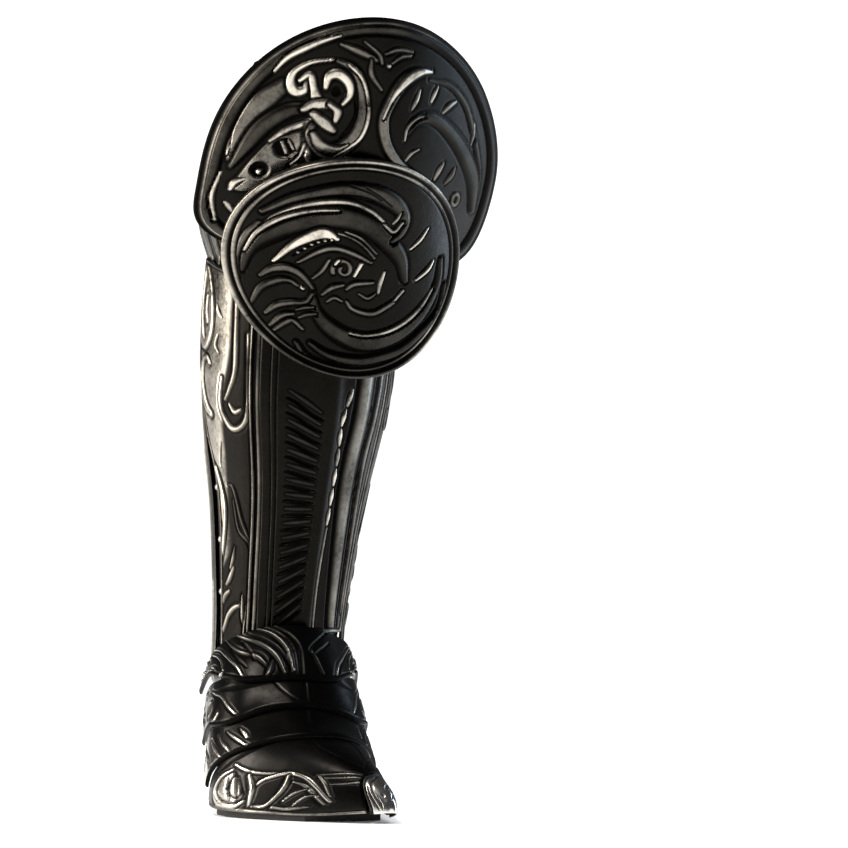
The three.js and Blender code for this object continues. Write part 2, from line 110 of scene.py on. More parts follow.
# %% The leg and the foot as functions of two parameters
LEG_FRONT = [[60, 57], [150, 59], [184, 63], [265, 75], [350, 88], [408, 93], [560, 95]]
LEG_BACK = [[60, 54], [150, 55], [184, 58], [265, 75], [350, 92], [408, 98], [560, 94]]
LEG_HALF = [[60, 50], [150, 52], [184, 54], [265, 62], [350, 77], [408, 80], [560, 78]]
LEG_LINE = [[60, -7], [160, -4], [315, 8], [460, 15.5], [680, 24]]
FOOT_TURN = np.radians(10)
FOOT_LINE = [[-60, -4], [0, -6], [60, -10.5], [110, -14.5], [150, -11], [190, 4.5], [221, 22], [254, 47]]
FOOT_HALF = [[0, 65], [60, 67.5], [110, 71.5], [135, 71], [165, 63], [195, 48], [221, 32], [240, 19],
             [254, 5]]
FOOT_TOP = [[0, 205], [40, 187], [60, 172], [74, 158], [90, 143], [105, 129], [119, 112],
            [134, 95], [158, 78], [194, 62], [221, 48], [241, 33], [254, 17]]
FOOT_EDGE = [[0, 2], [200, 2], [221, 3], [254, 9]]
PLATE_LIFT, STEEL, LAME = 4, 2.2, 2.6


def leg_point(turn, height, lift):
    """Across is the leg's line less its half width times the sine of the turn;
    forward is its front or back reach times the cosine; the lift adds to both."""
    ahead = np.where(np.cos(turn) >= 0, along(LEG_FRONT, height), along(LEG_BACK, height))
    across = along(LEG_LINE, height) - (along(LEG_HALF, height) + lift) * np.sin(turn)
    return np.stack([across, -(ahead + lift) * np.cos(turn), height + 0 * turn], -1)


def toe_out(points):
    """The points turned about the upright axis by the foot's ten degrees."""
    c, s = np.cos(-FOOT_TURN), np.sin(-FOOT_TURN)
    return points @ np.array([[c, s, 0], [-s, c, 0], [0, 0, 1]])


def foot_point(place, angle, lift, half=FOOT_HALF, top=FOOT_TOP, edge=FOOT_EDGE):
    """Across goes with the sine of the angle and up with its cosine, each raised
    to the power 0.8, so the arch is rounder than a half circle and squarer than a box."""
    side = -np.sign(angle) * np.abs(np.sin(angle)) ** 0.8
    rise = np.abs(np.cos(angle)) ** 0.8
    foot = along(edge, place)
    across = along(FOOT_LINE, place) + (along(half, place) + lift) * side
    height = foot + (along(top, place) + lift - foot) * rise
    return toe_out(np.stack([across, -place + 0 * angle, height], -1))


def heel_point(s, height, lift):
    """A U seen from above: s within 0.5 of the middle goes round the heel's quarter
    circles, and past that it runs straight forward; it narrows with the height squared."""
    round_, straight = np.minimum(np.abs(s) / 0.5, 1) * np.pi / 2, np.maximum(np.abs(s) - 0.5, 0) / 0.5
    taper = 1 - 0.12 * (height / 92) ** 2
    y = (62 * taper + lift) * np.cos(round_) - 60 * straight
    half = (44 * taper + lift + 13 * straight) * np.sin(round_)
    return toe_out(np.stack([along(FOOT_LINE, -y) + np.sign(s) * half, y, height + 0 * s], -1))


print("shin in front at 300 mm:", leg_point(np.array(0.0), np.array(300.0), PLATE_LIFT).round(1))

# %% [markdown]
# Chased work is raised from the back with punches and then cut in beside each
# line from the front, so a scroll stands up between two dark ditches. One way is
# to sculpt it and another is a height picture. Here each scroll is a smooth line
# with a half width, and a point's height comes from its distance to the line.
# The lines are laid one after the other, so a later one passes over an earlier.

# %% Lines, rings and dots


def line(*points, pieces=6):
    """A smooth line through (across, up, half width) points, each number a cubic
    through the points against their running count."""
    points, count = np.array(points, float), np.arange(len(points))
    steps = np.linspace(0, len(points) - 1, pieces * (len(points) - 1) + 1)
    return np.stack([along(np.stack([count, points[:, k]], 1), steps) for k in range(3)], 1)


def curl(across, up, reach, start, sweep, wide=2.5, end=0.25):
    """A spiral: its reach shrinks evenly to a quarter while it turns by `sweep`
    degrees from `start`; its half width shrinks with it."""
    t = np.linspace(0, 1, 40)
    turn, size = np.radians(start + sweep * t), reach * mix(1, end, t)
    return np.stack([across + size * np.cos(turn), up + size * np.sin(turn), wide * mix(1, 0.6, t)], 1)


def ring(across, up, wide, tall, half):
    """A closed oval: across with the cosine and up with the sine of one turn."""
    turn = np.linspace(0, 2 * np.pi, 33)
    return np.stack([across + wide * np.cos(turn), up + tall * np.sin(turn), half + 0 * turn], 1)


def dot(across, up, half):
    """A line so short that it is a round boss."""
    return np.array([[across, up, half], [across + 0.01, up, half]])


def mirrored(*lines):
    """The lines and their mirror images across the middle."""
    return [*lines, *(l * [-1, 1, 1] for l in lines)]


# %% Laying the lines on a plate


class Chasing:
    """One plate's surface: how high each point stands in millimetres, how bright it is rubbed
    or painted as a highlight, and how black soot or painted shade leaves it, on the plate's own flat
    coordinates."""

    def __init__(self, across, up):
        self.across, self.up = np.broadcast_arrays(across, up)
        self.high, self.shine, self.dark = (np.zeros(self.across.shape) for _ in range(3))

    def near(self, path, margin):
        """The points near a line, their distance to its nearest short straight piece,
        as a share of the half width there, and that half width."""
        low, top = path[:, :2].min(0) - margin, path[:, :2].max(0) + margin
        pick = ((self.across > low[0]) & (self.across < top[0])
                & (self.up > low[1]) & (self.up < top[1]))
        x, y = self.across[pick], self.up[pick]
        share, half = np.full(x.shape, 1e6), np.ones(x.shape)
        for a, b in zip(path[:-1], path[1:]):
            run = b[:2] - a[:2]
            t = np.clip(((x - a[0]) * run[0] + (y - a[1]) * run[1]) / max(run @ run, 1e-9), 0, 1)
            wide = a[2] + t * (b[2] - a[2])
            gap = np.hypot(x - a[0] - t * run[0], y - a[1] - t * run[1]) / wide
            closer = gap < share
            share[closer], half[closer] = gap[closer], wide[closer]
        return pick, share * half, half

    def lay(self, pick, gap, half, high, deep, ditch, shoulder, bright):
        """Inside the line the height rises from the ditch by 1 - (1 - q)^2.5, where q
        is the depth inside over the shoulder; outside it the ditch fades into the ground."""
        q = np.clip((half - gap + 0.5) / (np.minimum(half, shoulder) + 0.5), 0, 1)
        crown = 1 - (1 - q) ** 2.5
        tall = high * np.minimum(half / 3, 1)
        beside = smooth((gap - half - 0.5) / ditch)
        self.high[pick] = mix(mix(-deep, self.high[pick], beside), tall, crown)
        self.shine[pick] = mix(self.shine[pick] * beside, bright, crown ** 2)
        self.dark[pick] = mix(mix(1, self.dark[pick], beside), 0, crown)

    def band(self, *paths, high=1.2, deep=0.7, ditch=1.5, shoulder=3.0, bright=1.0):
        """Raised lines; `bright` colours each crown, as rubbed wear and in many places as a painted highlight.
        """
        for path in paths:
            pick, gap, half = self.near(path, path[:, 2].max() + ditch + 1)
            self.lay(pick, gap, half, high, deep, ditch, shoulder, bright)
        return self

    def cut(self, *paths, deep=0.8):
        """Engraved lines: the ground sinks within two millimetres of the line's side."""
        for path in paths:
            pick, gap, half = self.near(path, path[:, 2].max() + 1)
            inside = smooth((half - gap + 0.5) / (np.minimum(half, 2) + 0.5))
            self.high[pick] -= deep * inside
            self.shine[pick] *= 1 - inside
            self.dark[pick] = np.maximum(self.dark[pick], inside)
        return self

    def rim(self, edge, width, high=1.0, deep=0.7, ditch=1.5, at=0.0, bright=0.8):
        """A bead of the given width that follows the plate's edge at a distance."""
        gap = np.abs(edge - at - width / 2)
        pick = gap < width / 2 + ditch + 1
        self.lay(pick, gap[pick], width / 2 + 0 * gap[pick], high, deep, ditch, width / 2, bright)
        return self

    def painted_shadow_roll(self, edge, width):
        """A low roll along an edge, painted black as the shadow line where the plate meets the next."""
        self.clear(smooth((width - edge) / 1.0)).rim(edge, width - 1.5, high=1.0, bright=0.0)
        self.dark = np.maximum(self.dark, smooth((width - edge) / 1.0))
        return self

    def clear(self, mask):
        """Brings the ground back to level where the mask is 1."""
        self.high = mix(self.high, 0, mask)
        self.shine, self.dark = self.shine * (1 - mask), self.dark * (1 - mask)
        return self


# %% [markdown]
# A plate is a closed shell: the chased face, a plain inner face a sheet's
# thickness below, and a strip round the edges. The inner face needs only a
# quarter of the rows, so the strip joins four steps outside to one inside.

# %% From arrays to a closed mesh


def from_edge(face, sides="tblr"):
    """Distance from each point to the nearest of the named edges, measured along
    the grid's own lines: top and bottom rows, left and right columns."""
    runs = []
    for axis, near, far in ((0, "t", "b"), (1, "l", "r")):
        step = np.linalg.norm(np.diff(face, axis=axis), axis=-1)
        run = np.concatenate([np.zeros_like(face[:1, :, 0] if axis == 0 else face[:, :1, 0]),
                              np.cumsum(step, axis)], axis)
        end = run[-1:, :] if axis == 0 else run[:, -1:]
        runs += [run] * (near in sides) + [end - run] * (far in sides)
    return np.minimum.reduce(runs)


def normals(face, heart):
    """The cross product of the two directions of the grid, made one long, on the
    side that looks away from the heart; also whether the grid had to be turned."""
    n = np.cross(np.gradient(face, axis=0), np.gradient(face, axis=1))
    n /= np.maximum(np.linalg.norm(n, axis=-1, keepdims=True), 1e-9)
    away = (n * (face - np.array(heart))).sum(-1).mean() > 0
    return (n, False) if away else (-n, True)


def border(rows, columns):
    """The running numbers of a grid's edge points, once round."""
    return np.concatenate([np.arange(columns - 1), np.arange(rows - 1) * columns + columns - 1,
                           (rows - 1) * columns + np.arange(columns - 1, 0, -1),
                           np.arange(rows - 1, 0, -1) * columns])


def quads(rows, columns):
    """The four corners of each cell of a grid."""
    at = (np.arange(rows - 1)[:, None] * columns + np.arange(columns - 1)).ravel()
    return np.stack([at, at + columns, at + columns + 1, at + 1], 1)


def mesh_piece(name, points, faces, marks, material, nodes):
    """An object from points in millimetres and lists of faces, riding on the body
    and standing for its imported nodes."""
    mesh = bpy.data.meshes.new(name)
    mesh.vertices.add(len(points))
    mesh.vertices.foreach_set("co", (points * 0.001).astype(np.float32).ravel())
    sizes = np.concatenate([np.full(len(f), f.shape[1]) for f in faces])
    mesh.loops.add(int(sizes.sum()))
    mesh.loops.foreach_set("vertex_index", np.concatenate([f.ravel() for f in faces]).astype(np.int32))
    mesh.polygons.add(len(sizes))
    mesh.polygons.foreach_set("loop_start", (np.cumsum(sizes) - sizes).astype(np.int32))
    mesh.polygons.foreach_set("use_smooth", np.ones(len(sizes), bool))
    mesh.update(calc_edges=True)
    mesh.set_sharp_from_angle(angle=np.radians(50))
    for mark, values in marks.items():
        mesh.attributes.new(mark, "FLOAT", "POINT").data.foreach_set("value", values.astype(np.float32))
    piece = bpy.data.objects.new(name, mesh)
    bpy.context.scene.collection.objects.link(piece)
    mesh.materials.append(material)
    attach(piece, "root")
    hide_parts(*nodes)
    triangles = int((sizes - 2).sum())
    print(f"{name}: {len(points)} points, {triangles} triangles, "
          f"box {points.min(0).round(1)} to {points.max(0).round(1)}")
    return piece


def shell(name, face, chasing, thick, heart, material, nodes, soften=1.0, coarse=4):
    """A plate: the face moved out along its normals by the chased height, its edges
    rounded over by a quarter circle, and the inner face the thickness below."""
    n, turned = normals(face, heart)
    edge = np.clip(from_edge(face) / soften, 0, 1)
    outer = face + n * (chasing.high - soften * (1 - np.sqrt(1 - (1 - edge) ** 2)))[..., None]
    inner = (face - n * thick)[::coarse, ::coarse]
    shine, dark = chasing.shine, chasing.dark
    if turned:
        outer, inner, shine, dark = outer[:, ::-1], inner[:, ::-1], shine[:, ::-1], dark[:, ::-1]
    rows, columns = outer.shape[:2]
    inner_rows, inner_columns = inner.shape[:2]
    shift = rows * columns
    loop = border(rows, columns).reshape(-1, coarse)
    first, following = loop, np.roll(loop.ravel(), -1).reshape(loop.shape)
    inside = border(inner_rows, inner_columns) + shift
    ahead = np.roll(inside, -1)
    middle = coarse // 2
    fans = [np.stack([first[:, j], following[:, j], inside if j < middle else ahead], 1)
            for j in range(coarse)]
    fans.append(np.stack([loop[:, middle], ahead, inside], 1))
    faces = [quads(rows, columns), quads(inner_rows, inner_columns)[:, ::-1] + shift, *fans]
    points = np.concatenate([outer.reshape(-1, 3), inner.reshape(-1, 3)])
    pad = np.zeros(inner_rows * inner_columns)
    marks = {"shine": np.concatenate([shine.ravel(), pad]),
             "dark": np.concatenate([dark.ravel(), pad])}
    return mesh_piece(name, points, faces, marks, material, nodes)


# %% [markdown]
# ## Finishes
# Armour steel is one metal in several states: black from the forge fire and oil,
# satin where it is only planished, and bright where cloth and hands rub it. A
# shader group for each effect is built once, and each finish mixes them in its
# own amounts. Colours and masks leave the groups; the shader stays outside.

# %% Node helpers


def node(tree, kind, links=None, **settings):
    """Adds a node; `links` gives an input a value, or an output to be joined to."""
    made = tree.nodes.new(kind)
    for key, value in settings.items():
        setattr(made, key, value)
    for key, value in (links or {}).items():
        if isinstance(value, bpy.types.NodeSocket):
            tree.links.new(value, made.inputs[key])
        else:
            made.inputs[key].default_value = value
    return made


def calc(tree, operation, *values):
    """A Math node's result."""
    return node(tree, "ShaderNodeMath", dict(enumerate(values)), operation=operation).outputs[0]


def held(tree, value):
    """A number held between 0 and 1."""
    return calc(tree, "MINIMUM", calc(tree, "MAXIMUM", value, 0.0), 1.0)


def blend(tree, share, low, high):
    """Two colours mixed by a share."""
    return node(tree, "ShaderNodeMix", {0: share, 6: low, 7: high}, data_type="RGBA").outputs[2]


def blend_numbers(tree, share, low, high):
    """Two numbers mixed by a share."""
    return node(tree, "ShaderNodeMix", {0: share, 2: low, 3: high}).outputs[0]


def new_group(name, inputs, outputs):
    """A node group with the named inputs and outputs, given as name to kind."""
    tree = bpy.data.node_groups.new(name, "ShaderNodeTree")
    for side, sockets in (("INPUT", inputs), ("OUTPUT", outputs)):
        for label, kind in sockets.items():
            tree.interface.new_socket(label, in_out=side, socket_type="NodeSocket" + kind)
    return tree, node(tree, "NodeGroupInput").outputs, node(tree, "NodeGroupOutput").inputs


def noise(tree, place, size, detail=3.0, rough=0.55, kind="Fac"):
    """A cloud whose lumps are about `size` millimetres across."""
    return node(tree, "ShaderNodeTexNoise", {"Vector": place, "Scale": 1000 / size, "Detail": detail,
                                             "Roughness": rough}).outputs[kind]


def stretch(tree, place, *scale):
    """The place with each direction scaled, which draws a pattern out into streaks."""
    return node(tree, "ShaderNodeMapping", {"Vector": place, "Scale": scale}).outputs[0]


# %% [markdown]
# Worn relief: the raised lines are rubbed bright, but never evenly, and the
# ditches keep soot and old oil, which creeps out a little. Both masks come from
# the marks stored while chasing, broken up by a fine and a coarse cloud. These
# marks also carry painted highlights and painted shade, which go the same way.

# %% The group "Worn relief"
WORN, into, out = new_group("Worn relief", {"Place": "Vector", "Shine": "Float", "Dark": "Float",
                                            "Wear": "Float"}, {"Polish": "Float", "Soot": "Float"})
coarse_cloud = noise(WORN, into["Place"], 28)
fine_cloud = noise(WORN, into["Place"], 3.2, detail=5)
patchy = calc(WORN, "MULTIPLY_ADD", coarse_cloud, 1.6, calc(WORN, "MULTIPLY_ADD", fine_cloud, 0.9, -0.75))
rubbed = calc(WORN, "MULTIPLY", into["Shine"], calc(WORN, "MULTIPLY", patchy, into["Wear"]))
WORN.links.new(held(WORN, rubbed), out["Polish"])
creep = calc(WORN, "MULTIPLY_ADD", fine_cloud, 0.5, calc(WORN, "MULTIPLY", into["Dark"], 0.85))
WORN.links.new(held(WORN, calc(WORN, "SUBTRACT", creep, 0.22)), out["Soot"])

# %% [markdown]
# Steel grain: a hammered sheet is never quite flat, and oiling and rubbing leave
# fine scratches along the plate. A slow cloud gives the planished dents and a
# cloud drawn out lengthwise gives the scratches.

# %% The group "Steel grain"
GRAIN, into, out = new_group("Steel grain", {"Place": "Vector"},
                             {"Tone": "Float", "Scratch": "Float", "Height": "Float"})
dents = noise(GRAIN, into["Place"], 16, detail=2)
streaks = noise(GRAIN, stretch(GRAIN, into["Place"], 1.0, 1.0, 0.08), 0.9, detail=4)
pits = noise(GRAIN, into["Place"], 0.7, detail=4, rough=0.7)
GRAIN.links.new(noise(GRAIN, into["Place"], 45, detail=6, rough=0.62), out["Tone"])
GRAIN.links.new(streaks, out["Scratch"])
GRAIN.links.new(calc(GRAIN, "MULTIPLY_ADD", pits, 0.10, calc(GRAIN, "MULTIPLY_ADD", streaks, 0.08, dents)),
                out["Height"])

# %% [markdown]
# Leather grain: small pebbles between creases, as a full grain hide has, with
# wider wrinkles where it bends. Cells of about a millimetre make the pebbles.

# %% The group "Leather grain"
HIDE, into, out = new_group("Leather grain", {"Place": "Vector"}, {"Tone": "Float", "Height": "Float"})
warp = node(HIDE, "ShaderNodeVectorMath",
            {0: noise(HIDE, into["Place"], 6, kind="Color"), 1: (0.0016, 0.0016, 0.0016), 2: into["Place"]},
            operation="MULTIPLY_ADD").outputs[0]
pebble = node(HIDE, "ShaderNodeTexVoronoi", {"Vector": warp, "Scale": 650.0},
              feature="SMOOTH_F1").outputs["Distance"]
wrinkle = noise(HIDE, stretch(HIDE, warp, 0.5, 0.5, 1.6), 11, detail=5)
HIDE.links.new(noise(HIDE, into["Place"], 38, detail=5), out["Tone"])
HIDE.links.new(calc(HIDE, "MULTIPLY_ADD", wrinkle, 1.6, calc(HIDE, "MULTIPLY", pebble, -0.7)), out["Height"])
print("groups", [g.name for g in bpy.data.node_groups])

# %% Steel finishes


def new_material(name):
    """An empty material with its shader, and the place on the piece as Object coordinates."""
    material = bpy.data.materials.new(name)
    material.use_nodes = True
    tree = material.node_tree
    return material, tree, tree.nodes["Principled BSDF"], node(tree, "ShaderNodeTexCoord").outputs["Object"]


def place_group(tree, group, **links):
    """A group node with its inputs joined."""
    return node(tree, "ShaderNodeGroup", links, node_tree=group).outputs


def relief_mark(tree, name):
    """The mark that was stored on the mesh under this name."""
    return node(tree, "ShaderNodeAttribute", attribute_name=name).outputs["Fac"]


# The near black below is both soot in the ditches and painted shade.
SOOT_AND_SHADE, SOOT_ROUGH = (0.002, 0.0018, 0.0016), 0.6


def steel(name, ground, lit, bright, wear, rough, rubbed_rough):
    """Ground colour drifting towards `lit` in slow clouds, `bright` where it is rubbed
    or a highlight is painted, near black where soot sits or shade is painted; rubbed
    steel is smoother and soot is dull."""
    material, tree, shader, place = new_material(name)
    grain = place_group(tree, GRAIN, Place=place)
    worn = place_group(tree, WORN, Place=place, Shine=relief_mark(tree, "shine"),
                       Dark=relief_mark(tree, "dark"), Wear=wear)
    colour = blend(tree, grain["Tone"], (*ground, 1), (*lit, 1))
    colour = blend(tree, worn["Polish"], colour, (*bright, 1))
    colour = blend(tree, worn["Soot"], colour, (*SOOT_AND_SHADE, 1))
    tree.links.new(colour, shader.inputs["Base Color"])
    shader.inputs["Metallic"].default_value = 1.0
    dull = calc(tree, "MULTIPLY_ADD", grain["Scratch"], 0.16, rough - 0.08)
    dull = blend_numbers(tree, worn["Polish"], dull, rubbed_rough)
    dull = blend_numbers(tree, worn["Soot"], dull, SOOT_ROUGH)
    tree.links.new(dull, shader.inputs["Roughness"])
    bump = node(tree, "ShaderNodeBump", {"Height": grain["Height"], "Distance": 0.0004, "Strength": 0.6})
    tree.links.new(bump.outputs[0], shader.inputs["Normal"])
    return material


BLACK = steel("black steel", (0.0045, 0.0041, 0.0034), (0.0115, 0.0104, 0.0088), (0.66, 0.61, 0.53), 0.85,
              0.27, 0.28)
DARK = steel("dark satin steel", (0.009, 0.0085, 0.008), (0.022, 0.021, 0.02), (0.62, 0.59, 0.53), 0.8,
             0.31, 0.19)
SILVER = steel("rubbed steel", (0.30, 0.29, 0.27), (0.48, 0.47, 0.45), (0.84, 0.82, 0.78), 1.0, 0.28, 0.17)

# %% [markdown]
# The boot is black oiled leather, the sole is black rubber, and the seams are
# waxed thread. Leather is not a mirror: it has a dull skin with a little oil, so
# its roughness follows the grain.

# %% Leather, rubber and thread


def soft_skin(name, ground, lit, rough, grain_height, strength):
    """Two near colours mixed in clouds, with leather grain as fine relief."""
    material, tree, shader, place = new_material(name)
    grain = place_group(tree, HIDE, Place=place)
    tree.links.new(blend(tree, grain["Tone"], (*ground, 1), (*lit, 1)), shader.inputs["Base Color"])
    tree.links.new(calc(tree, "MULTIPLY_ADD", grain["Tone"], 0.2, rough), shader.inputs["Roughness"])
    bump = node(tree, "ShaderNodeBump",
                {"Height": grain["Height"], "Distance": grain_height, "Strength": strength})
    tree.links.new(bump.outputs[0], shader.inputs["Normal"])
    shader.inputs["Specular IOR Level"].default_value = 0.4
    return material


LEATHER = soft_skin("black leather", (0.010, 0.009, 0.008), (0.026, 0.022, 0.018), 0.42, 0.0006, 0.7)
RUBBER = soft_skin("sole rubber", (0.012, 0.012, 0.011), (0.022, 0.021, 0.020), 0.62, 0.0003, 0.5)
THREAD = soft_skin("waxed thread", (0.020, 0.017, 0.013), (0.045, 0.038, 0.030), 0.55, 0.0002, 0.5)

# %% [markdown]
# ## The knee
# The fan is a tall plate behind the round guard. It is a dome that wraps back at
# both sides, wider than a half circle, with a broad rolled border. A grid on a
# square is bent into a round, so its cells stay nearly the same size.

# %% The fan's surface
FAN_CENTRE, FAN_HALF, FAN_RISE, FAN_WRAP = 537, 136, 135, 82
FAN_SIDEWAYS = [[450, 25], [537, 25], [610, 18], [672, 8]]
FAN_LINE = [[442, 100], [478, 126], [491, 135], [550, 176], [611, 197], [672, 209]]


def round_grid(count):
    """A square's grid bent into a round: the reach is the larger of the two
    coordinates, and the turn is an eighth of a circle times the smaller over it."""
    a, b = np.meshgrid(np.linspace(-1, 1, count), np.linspace(-1, 1, count), indexing="ij")
    wide = np.abs(a) > np.abs(b)
    larger, smaller = np.where(wide, a, b), np.where(wide, b, a)
    slant = np.pi / 4 * smaller / np.where(larger == 0, 1, larger)
    turn = np.where(wide, slant, np.pi / 2 - slant) + np.pi * (larger < 0)
    return np.abs(larger), turn


def fan_point(reach, turn):
    """An oval of power 2.1 above the middle and a squarish one of power 3.5 below, on
    a surface that leans forward with height and wraps back with the square of x."""
    c, s = np.cos(turn), np.sin(turn)
    power = np.where(s < 0, 3.5, 2.1)
    swell = (np.abs(c) ** power + np.abs(s) ** power) ** (-1 / power)
    tilt = np.sign(c) * np.abs(c * swell) ** (power / 2)
    fall = mix(60, 84, smooth((1 + tilt) / 2))
    x = FAN_HALF * reach * swell * c
    height = FAN_CENTRE + reach * swell * s * np.where(s < 0, fall, FAN_RISE)
    share = x / FAN_HALF
    crest = 0.35 * (np.sqrt(share ** 2 + 0.01) - 0.1) + 0.65 * share ** 2
    return x, height, np.stack([along(FAN_SIDEWAYS, height) + x,
                                FAN_WRAP * crest - along(FAN_LINE, height), height], -1)


# %% [markdown]
# The fan's field holds a large spiral scroll on the outer half, a comma-shaped
# loop on the inner half, long leaves that follow the border, and a small knot of
# petals above. The strokes are laid from the back to the front.

# %% Chasing the fan
reach, turn = round_grid(265)
fan_x, fan_up, fan_face = fan_point(reach, turn)
fan_edge = (1 - reach) * FAN_HALF
fan = Chasing(fan_x, fan_up)
fan.band(line((-32, 650, 1.5), (-18, 644, 3.4), (-5, 637, 2)),
         line((-9, 637, 1), (-10, 625, 2.2), (-2, 612, 1)), line((4, 642, 0.8), (17, 646, 1.8), (31, 644, 0.8)),
         line((-13, 652, 0.8), (-2, 642, 1.6), (0, 634, 1)),
         line((9, 634, 0.8), (19, 640, 1.6), (29, 641, 0.8)), high=1.3, ditch=2.0, bright=0.45)
fan.band(dot(6, 632, 2), bright=2)

# %% The leaves beside the border
# The upper leaf.
fan.band(line((-78, 616, 6), (-90, 606, 8), (-102, 594, 8), (-111, 578, 6), (-116, 555, 2)), high=1.6,
         ditch=2.6, bright=0.35, shoulder=5)
# A painted highlight along the leaf's outer edge.
fan.band(line((-110, 606, 0.6), (-116, 584, 1.0), (-118, 559, 0.6)), high=1.8, bright=1.6)
# The middle leaf.
fan.band(line((-58, 598, 4), (-76, 594, 6.5), (-92, 583, 7), (-103, 568, 6), (-114, 549, 2)), high=2.6,
         ditch=2.6, bright=0.10, shoulder=7)
# The pierced leaf.
fan.band(line((-58, 582, 2), (-64, 572, 7), (-76, 564, 12.5), (-90, 548, 12.5), (-102, 536, 8), (-110, 534, 4)),
         high=1.6, ditch=2.8, bright=0.55)
fan.band(line((-56, 590, 1), (-64, 584, 2.8), (-76, 579, 2.8), (-88, 570, 1.2)),
         line((-61, 585, 2), (-62, 573, 3.2), (-61, 560, 2.6), (-58, 551, 1)),
         line((-72, 554, 1), (-69, 548, 2.4), (-71, 541, 1)),
         line((-104, 538, 1), (-110, 535, 3), (-112, 530, 1.4)), high=1.7, deep=0.1, ditch=0.8, bright=2)
fan.cut(dot(-78, 564, 8.6), dot(-94, 546, 7.4), deep=2.4)
fan.band(line((-80, 569, 1), (-76, 559, 1.3)), line((-75, 570, 0.8), (-71, 562, 1)), dot(-94, 544, 3), high=1.4,
         deep=2.0, ditch=1.0, bright=2)
fan.band(line((-72, 550, 1), (-66, 556, 1.4), (-63, 567, 1)),
         line((-114, 519, 0.8), (-110, 515, 2), (-105, 509, 0.8)), bright=1.6)

# %% The great scroll and its knot
# The great scroll.
fan.band(line((-36, 636, 1.5), (-26, 631, 3.5), (-20, 621, 4.4), (-17, 604, 4.6), (-18, 588, 5),
              (-24, 574, 5.4), (-31, 566, 6), (-41, 560, 6.4), (-52, 564, 5.5), (-59, 574, 4), (-58, 582, 2.5)),
         high=2.0, ditch=3.2, bright=0.35)
fan.band(line((-30, 566, 1), (-40, 562, 4), (-51, 566, 4.6), (-57, 576, 2.5)),
         line((-30, 612, 0.7), (-34, 602, 1.2), (-38, 594, 0.7)), high=2.1, deep=0.1, ditch=0.8, bright=0.8)
fan.cut(line((-32, 623, 0.8), (-26, 609, 1.2), (-24, 594, 1.4), (-28, 584, 1.2), (-36, 572, 0.8)), deep=1.4)
# A painted highlight along the crest of the great scroll.
fan.band(line((-28, 633, 0.8), (-18, 621, 1.2), (-14, 604, 1.4), (-14, 588, 1.5), (-20, 572, 1.3),
              (-31, 562, 1), (-40, 556, 0.8)), high=2.4, deep=0.2, ditch=0.8, bright=2)
fan.band(line((-40, 637, 0.8), (-56, 635, 1.4), (-69, 628, 2.2), (-73, 619, 3.4), (-70, 611, 4.4),
              (-63, 612, 3.2), (-61, 618, 1.6)),
         line((-66, 620, 1.4), (-58, 625, 2.6), (-56, 614, 3), (-54, 604, 4.4)),
         line((-47, 614, 1.8), (-44, 623, 3.4), (-36, 625, 4.4), (-29, 618, 3.8), (-28, 608, 2.6),
              (-34, 600, 1.4)), high=1.9, ditch=2.6, bright=2)
fan.cut(dot(-39, 611, 4.6), deep=1.6)
fan.band(line((-64, 596, 3), (-54, 600, 4.6), (-44, 600, 3.6)),
         line((-56, 592, 3.5), (-48, 584, 4.8), (-42, 578, 3)),
         line((-44, 600, 2.4), (-38, 594, 3.4), (-40, 586, 2)), high=1.9, ditch=1.6, bright=1.2)

# %% The loop on the inner half
fan.band(line((47, 621, 1), (70, 617, 2.8), (88, 602, 3.2), (97, 582, 3.2), (105, 560, 3), (112, 538, 2.4),
              (114, 514, 1)), high=1.6, ditch=2.6, bright=0.14)
# The right loop.
fan.band(line((50, 629, 1), (40, 628, 3.2), (28, 625, 4.8), (16, 616, 5.4), (7, 604, 5), (0, 590, 4.8),
              (0, 575, 4.6), (6, 560, 4.6), (20, 546, 4.6), (40, 532, 4.4), (64, 518, 4), (84, 501, 3),
              (96, 486, 2)), high=2.0, ditch=3.2, bright=0.40)
# A painted highlight along the crest of the right loop.
fan.band(line((50, 628, 0.8), (38, 628, 3.4), (26, 623, 4.2), (14, 613, 3), (6, 602, 1.4), (-1, 588, 0.8)),
         high=2.5, deep=0.2, ditch=0.8, bright=2)
fan.band(line((22, 576, 1.6), (30, 586, 3.6), (42, 590, 4.6), (57, 586, 6), (74, 574, 7.4), (90, 558, 8),
              (104, 538, 7.4), (111, 514, 4)), high=2.4, ditch=2.8, bright=0.10, shoulder=7)
fan.band(line((27, 596, 0.8), (32, 604, 2), (36, 612, 0.9)),
         line((48, 603, 0.8), (52, 610, 1.8), (56, 616, 0.8)),
         line((61, 594, 0.8), (68, 600, 2.4), (77, 604, 1)),
         line((96, 568, 0.7), (99, 577, 1.6), (100, 586, 0.7)),
         line((56, 538, 1), (60, 546, 2.2), (64, 552, 1)), high=1.8, ditch=2.4, bright=1.9)
fan.band(line((20, 570, 0.7), (22, 580, 1.3), (30, 588, 1.6), (40, 591, 0.7)),
         line((22, 553, 0.7), (28, 560, 1.4), (35, 563, 0.7)), ring(86, 522, 4, 4.6, 1.6),
         line((69, 535, 1), (75, 542, 2.2), (78, 548, 1)), high=2.6, ditch=1.6, bright=0.8)

